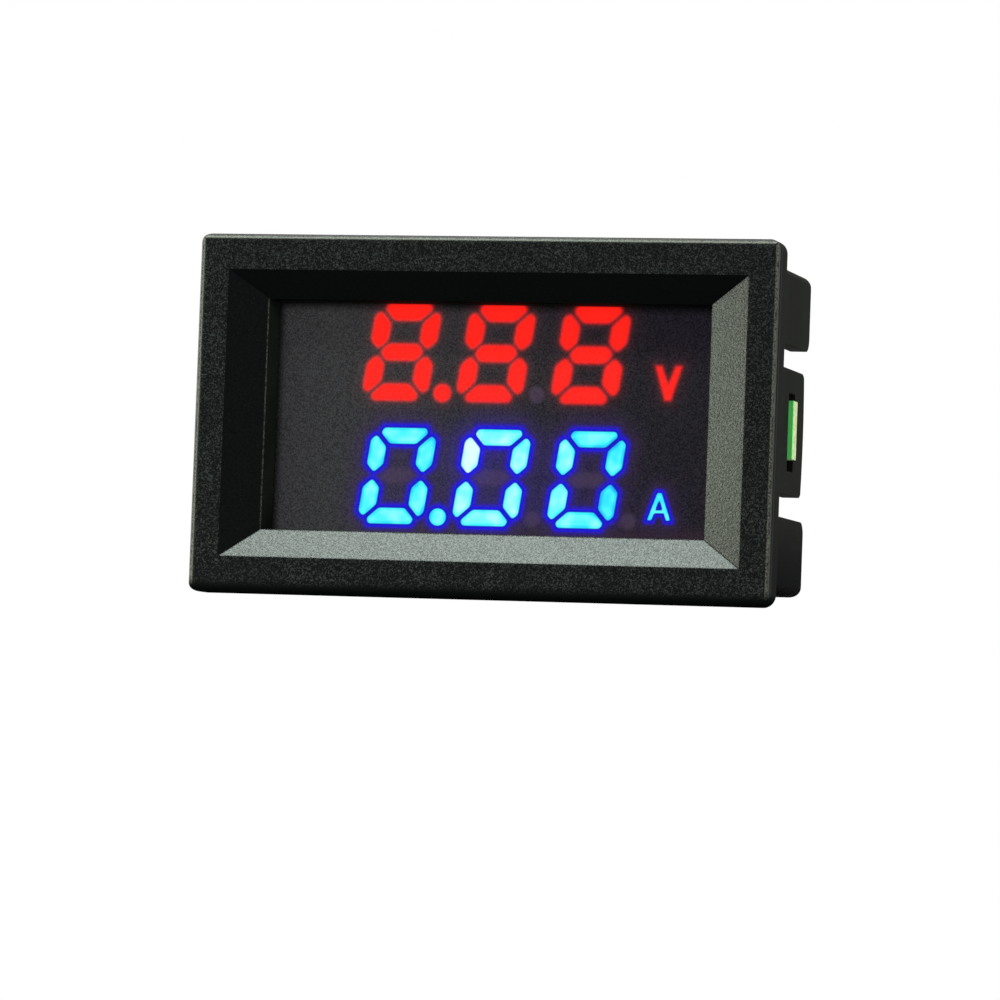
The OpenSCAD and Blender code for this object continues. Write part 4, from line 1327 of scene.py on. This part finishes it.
@dataclass
class BoardDetail:
    """Tracks, solder fillets, vias and printed outlines on the board's back, in millimetres."""

    lead_spread: float = 0.09
    lead_rise: float = 0.1
    signal_w: float = 0.26
    trimmer_w: float = 0.5
    power_w: float = 0.9
    load_w: float = 2.3
    load_h: float = 0.022
    stripe_h: float = 0.09
    stripe_start: float = 1.4
    stripe_end: float = 5.2
    shunt_inset: float = 0.8
    lap: float = 0.1
    upper_lap: float = 0.2
    long_lap: float = 0.3
    resistor_row: float = -2.0
    row_reach: float = 0.3
    row_end: float = 6.0
    pin_reach: float = 0.35
    controller_run: Point = (0.4, 1.0)
    amplifier_run: Point = (0.9, 1.25)
    transistor_run: float = 0.75
    transistor_row: float = -5.9
    trimmer_run: float = 1.3
    via_r: float = 0.28
    via_h: float = 0.026
    tin_share: float = 0.45
    tin_h: float = 0.03
    tin_sides: int = 10
    ink_w: float = 0.13
    ink_h: float = 0.03
    dot_r: float = 0.16
    dot_gap: Point = (0.35, 0.3)
    plus_gap: Point = (0.95, 1.0)
    plus_reach: float = 0.3
    base: float = field(init=False)

    def __post_init__(self) -> None:
        """Find the board's back."""
        self.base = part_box("main_board")[1].y / MM

    def fillets(self) -> None:
        """Solder every surface-mounted terminal to the board."""
        layer = Layer(self.base)
        for node, spread, height in (("chip_terminals", 0.16, 0.3), ("diode_terminals", 0.25, 0.35),
                                     ("tantalum_terminals", 0.2, 0.35)):
            for box in solids(node):
                layer.pad(box, spread, height)
        for node, reach in (("microcontroller_leads", 0.45), ("amplifier_leads", 0.5),
                            ("regulator_leads", 0.5), ("transistor_leads", 0.35)):
            boxes = solids(node)
            middle = sum(box.z for box in boxes) / len(boxes)
            for box in boxes:
                low = box.high.z - reach if box.z > middle else box.low.z
                foot = Box(Vector((box.low.x, 0, low)), Vector((box.high.x, 0, low + reach)))
                layer.pad(foot, self.lead_spread, self.lead_rise)
        layer.finish("solder_fillets", SOLDER, "solder")

    @staticmethod
    def elbow(start: Point, end: Point, rise: float = 0.5) -> list[Point]:
        """Lead from one place to another: straight along Z, across at 45 degrees, and straight on.

        Args:
            start: First place.
            end: Last place.
            rise: Share of the straight run that comes before the slant.

        Returns:
            The points of the line.
        """
        across = end[0] - start[0]
        up = end[1] - start[1]
        slant = min(abs(across), abs(up))
        straight = (abs(up) - slant) * rise * math.copysign(1, up)
        first = (start[0], start[1] + straight)
        second = (end[0], first[1] + math.copysign(slant, up))
        return [start, first, second, end]

    @staticmethod
    def rows(node: str) -> tuple[list[Box], list[Box]]:
        """Return the solids of a node in two rows: the lower one and the upper one."""
        boxes = solids(node)
        return boxes[:len(boxes) // 2], boxes[len(boxes) // 2:]

    def signal_tracks(self, layer: Layer, vias: list[Point]) -> None:
        """Lead the controller's pins to resistors, display pins and amplifier.

        Args:
            layer: Layer that takes the tracks.
            vias: List that takes the places of through-connections.
        """
        def stub(start: Point, end: Point) -> None:
            """Lead a short track to a through-connection."""
            layer.track([start, end], self.signal_w)
            vias.append(end)

        lower, upper = self.rows("microcontroller_leads")
        foot_pins, head_pins = self.rows("display_pins")
        row = [box for box in solids("chip_resistors")
               if abs(box.z - self.resistor_row) < self.row_reach and box.x < self.row_end]
        for lead, chip in zip(lower, row):
            layer.track([(lead.x, lead.low.z + self.long_lap), (chip.x, chip.high.z - self.lap)],
                        self.signal_w)
        for chip, pin in zip(row, foot_pins):
            layer.track(self.elbow((chip.x, chip.low.z + self.lap), (pin.x, pin.z), 0.3), self.signal_w)
        for index, lead in enumerate(upper):
            start = (lead.x, lead.high.z - self.upper_lap)
            near = [pin for pin in head_pins if abs(pin.x - lead.x) < self.pin_reach]
            if near:
                layer.track([start, (near[0].x, near[0].z)], self.signal_w)
            else:
                stub(start, (lead.x, lead.high.z + self.controller_run[index % 2]))
        for lead in solids("transistor_leads"):
            if lead.z > self.transistor_row:
                stub((lead.x, lead.z), (lead.x, lead.high.z + self.transistor_run))
        middle = solids("amplifier")[0].z
        for index, lead in enumerate(solids("amplifier_leads")):
            out = math.copysign(self.amplifier_run[index % 2], lead.z - middle)
            stub((lead.x, lead.z), (lead.x, lead.z + out))

    def power_tracks(self, layer: Layer, bare: Layer) -> None:
        """Lead the load current through the shunt and the supply to its regulator.

        Args:
            layer: Layer of lacquered tracks.
            bare: Layer of bare tinned stripes that thicken the load tracks.
        """
        shunt, diode, regulator, tantalum = (
            solids(name)[0] for name in ("shunt", "diode", "regulator", "tantalum_capacitor"))
        legs = (shunt.low.x + self.shunt_inset, shunt.high.x - self.shunt_inset)
        for leg, pin in zip(legs, solids("current_pins")):
            layer.track(self.elbow((pin.x, pin.z), (leg, shunt.z), 0.85), self.load_w, self.load_h)
            bare.track([(leg, shunt.z - self.stripe_start), (leg, shunt.z - self.stripe_end)],
                       self.power_w, self.stripe_h)
        plus, minus = ((pin.x, pin.z) for pin in solids("supply_pins")[:2])
        for start, end, rise in (
                (plus, (diode.x, diode.high.z + self.upper_lap), 0.2),
                (minus, (regulator.x, regulator.high.z + self.long_lap), 0.2),
                ((tantalum.low.x + self.long_lap, tantalum.z), (diode.x, diode.low.z - self.lap), 0.5)):
            layer.track(self.elbow(start, end, rise), self.power_w)
        for name in ("volt_trimmer_base", "amp_trimmer_base"):
            box = solids(name)[0]
            layer.track([(box.x, box.high.z - self.upper_lap), (box.x, box.high.z + self.trimmer_run)],
                        self.trimmer_w)

    def legend(self) -> None:
        """Print the outlines that show where the parts sit, a dot and a plus sign."""
        ink = Layer(self.base)
        for name, grow in (("current_header", 0.35), ("supply_header", 0.3), ("volt_trimmer_base", 0.35),
                           ("amp_trimmer_base", 0.35), ("diode", 0.45), ("tantalum_capacitor", 0.5)):
            box = solids(name)[0]
            left, right = box.low.x - grow, box.high.x + grow
            down, up = box.low.z - grow, box.high.z + grow
            corners = [(left, down), (right, down), (right, up), (left, up), (left, down)]
            for start, end in zip(corners, corners[1:]):
                ink.track([start, end], self.ink_w, self.ink_h)
        chip = solids("microcontroller")[0]
        ink.disc((chip.low.x - self.dot_gap[0], chip.low.z - self.dot_gap[1]), self.dot_r, self.ink_h)
        tantalum = solids("tantalum_capacitor")[0]
        x, z = tantalum.high.x + self.plus_gap[0], tantalum.z + self.plus_gap[1]
        ink.track([(x - self.plus_reach, z), (x + self.plus_reach, z)], self.ink_w, self.ink_h)
        ink.track([(x, z - self.plus_reach), (x, z + self.plus_reach)], self.ink_w, self.ink_h)
        ink.finish("board_legend", Ink("legend ink"), "green_laminate")

    def build(self) -> None:
        """Build all the layers."""
        self.fillets()
        tracks, bare = Layer(self.base), Layer(self.base)
        vias: list[Point] = []
        self.signal_tracks(tracks, vias)
        self.power_tracks(tracks, bare)
        for place in vias:
            tracks.disc(place, self.via_r, self.via_h)
            bare.disc(place, self.via_r * self.tin_share, self.tin_h, self.tin_sides)
        lacquer = Laminate("lacquered track", tint(38, 132, 66), tint(28, 112, 54))
        tracks.finish("board_tracks", lacquer, "green_laminate")
        bare.finish("tinned_stripes", SOLDER, "solder")
        self.legend()


class Wardrobe:
    """Finishes of the CAD nodes that stay as they are."""

    def plastics(self) -> dict[str, Finish]:
        """Choose the finishes of mouldings, castings and packages.

        Returns:
            Finish by node.
        """
        nylon = Plastic("white nylon", tint(236, 234, 224), tint(222, 219, 206), grain=0.2 * MM,
                        depth=0.003 * MM, cloud=2.0 * MM, roughness=0.4, edge=0.08 * MM)
        ceramic = Plastic("white ceramic", tint(232, 230, 222), tint(214, 210, 200), grain=0.08 * MM,
                          depth=0.005 * MM, cloud=0.7 * MM, roughness=0.5, edge=0.05 * MM)
        package = Plastic("black package", tint(30, 30, 32), tint(44, 44, 46), grain=0.05 * MM,
                          cloud=0.8 * MM, roughness=0.55, gloss=0.4, edge=0.03 * MM)
        yellow_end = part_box("tantalum_capacitor")[1].x
        diode_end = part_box("diode")[1].z
        return {
            "housing": MouldedBlack("moulded black"),
            "display_body": Plastic("grey reflector", tint(168, 168, 166), tint(150, 150, 148)),
            "unlit_bars": Plastic("milky resin", tint(214, 210, 200), tint(196, 190, 178), roughness=0.4),
            "led_chips": Plastic("light chip", tint(220, 214, 150), tint(190, 184, 120)),
            "potting": Plastic("potting", tint(196, 192, 180), tint(176, 170, 156), grain=0.3 * MM,
                               depth=0.01 * MM, cloud=3.0 * MM, roughness=0.3, edge=0.05 * MM),
            "current_header": nylon, "supply_header": nylon,
            "volt_trimmer_base": ceramic, "amp_trimmer_base": ceramic,
            "microcontroller": package, "amplifier": package, "regulator": package,
            "digit_transistors": package,
            "tantalum_capacitor": BandedPackage(
                "yellow tantalum", tint(214, 160, 42), tint(196, 140, 30), grain=0.06 * MM,
                band=tint(96, 44, 20), start=yellow_end - 0.9 * MM, end=yellow_end - 0.35 * MM),
            "diode": BandedPackage(
                "black diode", tint(32, 32, 34), tint(46, 46, 48), band=tint(190, 190, 186), axis=Axis.Z,
                start=diode_end - 1.1 * MM, end=diode_end - 0.55 * MM),
            "chip_resistors": Plastic(
                "black chip resistor", tint(34, 36, 40), tint(24, 26, 30), grain=0.05 * MM,
                cloud=0.5 * MM, roughness=0.3, edge=0.03 * MM),
            "chip_capacitors": Plastic(
                "tan chip capacitor", tint(178, 146, 108), tint(158, 126, 90), grain=0.05 * MM,
                cloud=0.5 * MM, edge=0.03 * MM)}

    def metals(self) -> dict[str, Finish]:
        """Choose the finishes of leads, pins, solder, shunt and rotors.

        Returns:
            Finish by node.
        """
        tin = Metal("tinned lead", tint(208, 208, 204), tint(168, 167, 160))
        brass = Metal("plated rotor", tint(214, 196, 150), tint(170, 148, 104), 0.3)
        tinned = ("display_pins", "current_pins", "supply_pins", "microcontroller_leads",
                  "amplifier_leads", "regulator_leads", "diode_terminals", "tantalum_terminals",
                  "transistor_leads", "chip_terminals")
        return {**dict.fromkeys(tinned, tin), "solder_joints": SOLDER,
                "shunt": Metal("shunt alloy", tint(176, 128, 96), tint(140, 98, 74), 0.34, 1.2 * MM),
                "volt_trimmer_rotor": brass, "amp_trimmer_rotor": brass}

    def lights_and_boards(self) -> dict[str, Finish]:
        """Choose the finishes of the lit bars and of the two boards.

        Returns:
            Finish by node.
        """
        red = LitResin("red resin, lit", tint(255, 48, 40), tint(240, 120, 110))
        blue = LitResin("blue resin, lit", tint(90, 230, 255), tint(190, 225, 240))
        return {"volt_bars": red, "volt_letter": red, "amp_bars": blue, "amp_letter": blue,
                "led_board": Laminate("display laminate", tint(222, 218, 204), tint(204, 200, 184)),
                "main_board": Laminate("green laminate")}

    def dress(self) -> None:
        """Give each node its finish."""
        for name, finish in {**self.plastics(), **self.metals(), **self.lights_and_boards()}.items():
            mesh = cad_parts[name].data
            mesh.materials.clear()
            mesh.materials.append(finish.material())
            LOG.info("node %s: finish %s", name, finish.name)


@dataclass
class Studio:
    """Floor, surround, lamps and camera."""

    eye: tuple[float, float, float] = (117.754, -430.919, -29.428)
    aim: tuple[float, float, float] = (1.2095, 0.0, -6.4496)
    roll: float = 2.1167
    lens: float = 201.41
    sensor: float = 36.0
    nearest: float = 10.0 * MM
    ambient: float = 0.4
    floor_half: float = 2000.0 * MM
    floor_gap: float = 0.02 * MM

    def floor(self) -> None:
        """Lay the floor under the meter's lowest edge."""
        half = self.floor_half
        height = CAD_BOX[0][2] - self.floor_gap
        mesh = bpy.data.meshes.new("floor")
        corners = [(-half, -half), (half, -half), (half, half), (-half, half)]
        mesh.from_pydata([(x, y, height) for x, y in corners], [], [(0, 1, 2, 3)])
        mesh.materials.append(StudioFloor("studio floor").material())
        floor = bpy.data.objects.new("floor", mesh)
        bpy.context.scene.collection.objects.link(floor)

    def surround(self) -> None:
        """Make the surround white to the eye and dimmer as a light."""
        world = bpy.data.worlds.new("surround")
        bpy.context.scene.world = world
        world.use_nodes = True
        graph = Graph(world.node_tree)
        camera, glossy, clear = (graph.node("ShaderNodeLightPath", {}, {}, ray) for ray in (
            "Is Camera Ray", "Is Glossy Ray", "Is Transmission Ray"))
        strength = camera.most(glossy).most(clear) * (1 - self.ambient) + self.ambient
        sky = graph.node("ShaderNodeBackground", {}, {"Color": grey(255), "Strength": strength})
        graph.finish(sky, "ShaderNodeOutputWorld")

    def lamp(self, name: str, way: tuple[float, float, float], reach: float, size: Point,
             radiance: float, colour: tuple[float, float, float] = (1.0, 1.0, 1.0)) -> None:
        """Hang a soft lamp that looks at the meter.

        Args:
            name: Name of the lamp.
            way: Direction from the meter to the lamp.
            reach: Distance from the meter in metres.
            size: Width and height in metres.
            radiance: Brightness of its face, where 1 is white.
            colour: Colour of its light.
        """
        data = bpy.data.lights.new(name, "AREA")
        data.shape = "RECTANGLE"
        data.size, data.size_y = size
        data.energy = radiance * math.pi * size[0] * size[1]
        data.color = colour
        lamp = bpy.data.objects.new(name, data)
        lamp.location = Vector(way).normalized() * reach
        lamp.rotation_euler = (-Vector(way)).to_track_quat("-Z", "Y").to_euler()
        bpy.context.scene.collection.objects.link(lamp)

    def light(self) -> None:
        """Hang the lamps in front of, beside, above and behind the meter."""
        self.lamp("top_soft", (-0.26, -0.57, 0.78), 0.6, (0.22, 0.13), 115.0, (0.87, 1.0, 0.93))
        self.lamp("left_soft", (-0.80, -0.59, 0.05), 0.5, (0.12, 0.12), 64.0, (0.91, 1.0, 0.82))
        self.lamp("left_wrap", (-0.95, 0.27, 0.05), 0.6, (0.36, 0.4), 9.0)
        self.lamp("right_soft", (0.94, -0.24, 0.05), 0.6, (0.1, 0.24), 56.0, (0.93, 1.0, 0.93))
        self.lamp("overhead", (-0.26, 0.07, 0.94), 0.6, (0.3, 0.12), 26.0)
        self.lamp("rear_soft", (0.5, 0.75, 0.6), 0.8, (0.5, 0.4), 1.6)

    def camera(self) -> None:
        """Set up the camera in front, to the right and a little below the meter."""
        data = bpy.data.cameras.new("camera")
        data.lens = self.lens
        data.sensor_width = self.sensor
        data.clip_start = self.nearest
        camera = bpy.data.objects.new("camera", data)
        place = Vector(self.eye) * MM
        look = (Vector(self.aim) * MM - place).to_track_quat("-Z", "Y").to_matrix()
        turned = look @ Matrix.Rotation(math.radians(self.roll), 3, "Z")
        camera.matrix_world = Matrix.Translation(place) @ turned.to_4x4()
        bpy.context.scene.collection.objects.link(camera)
        bpy.context.scene.camera = camera

    def build(self) -> None:
        """Set up the whole studio."""
        self.camera()
        self.surround()
        self.floor()
        self.light()
        bpy.context.scene.view_settings.view_transform = "Standard"


def main() -> None:
    """Build the studio and dress the meter."""
    logging.basicConfig(level=logging.INFO)
    Studio().build()
    Wardrobe().dress()
    Display().build()
    BoardDetail().build()


if __name__ == "__main__":
    main()
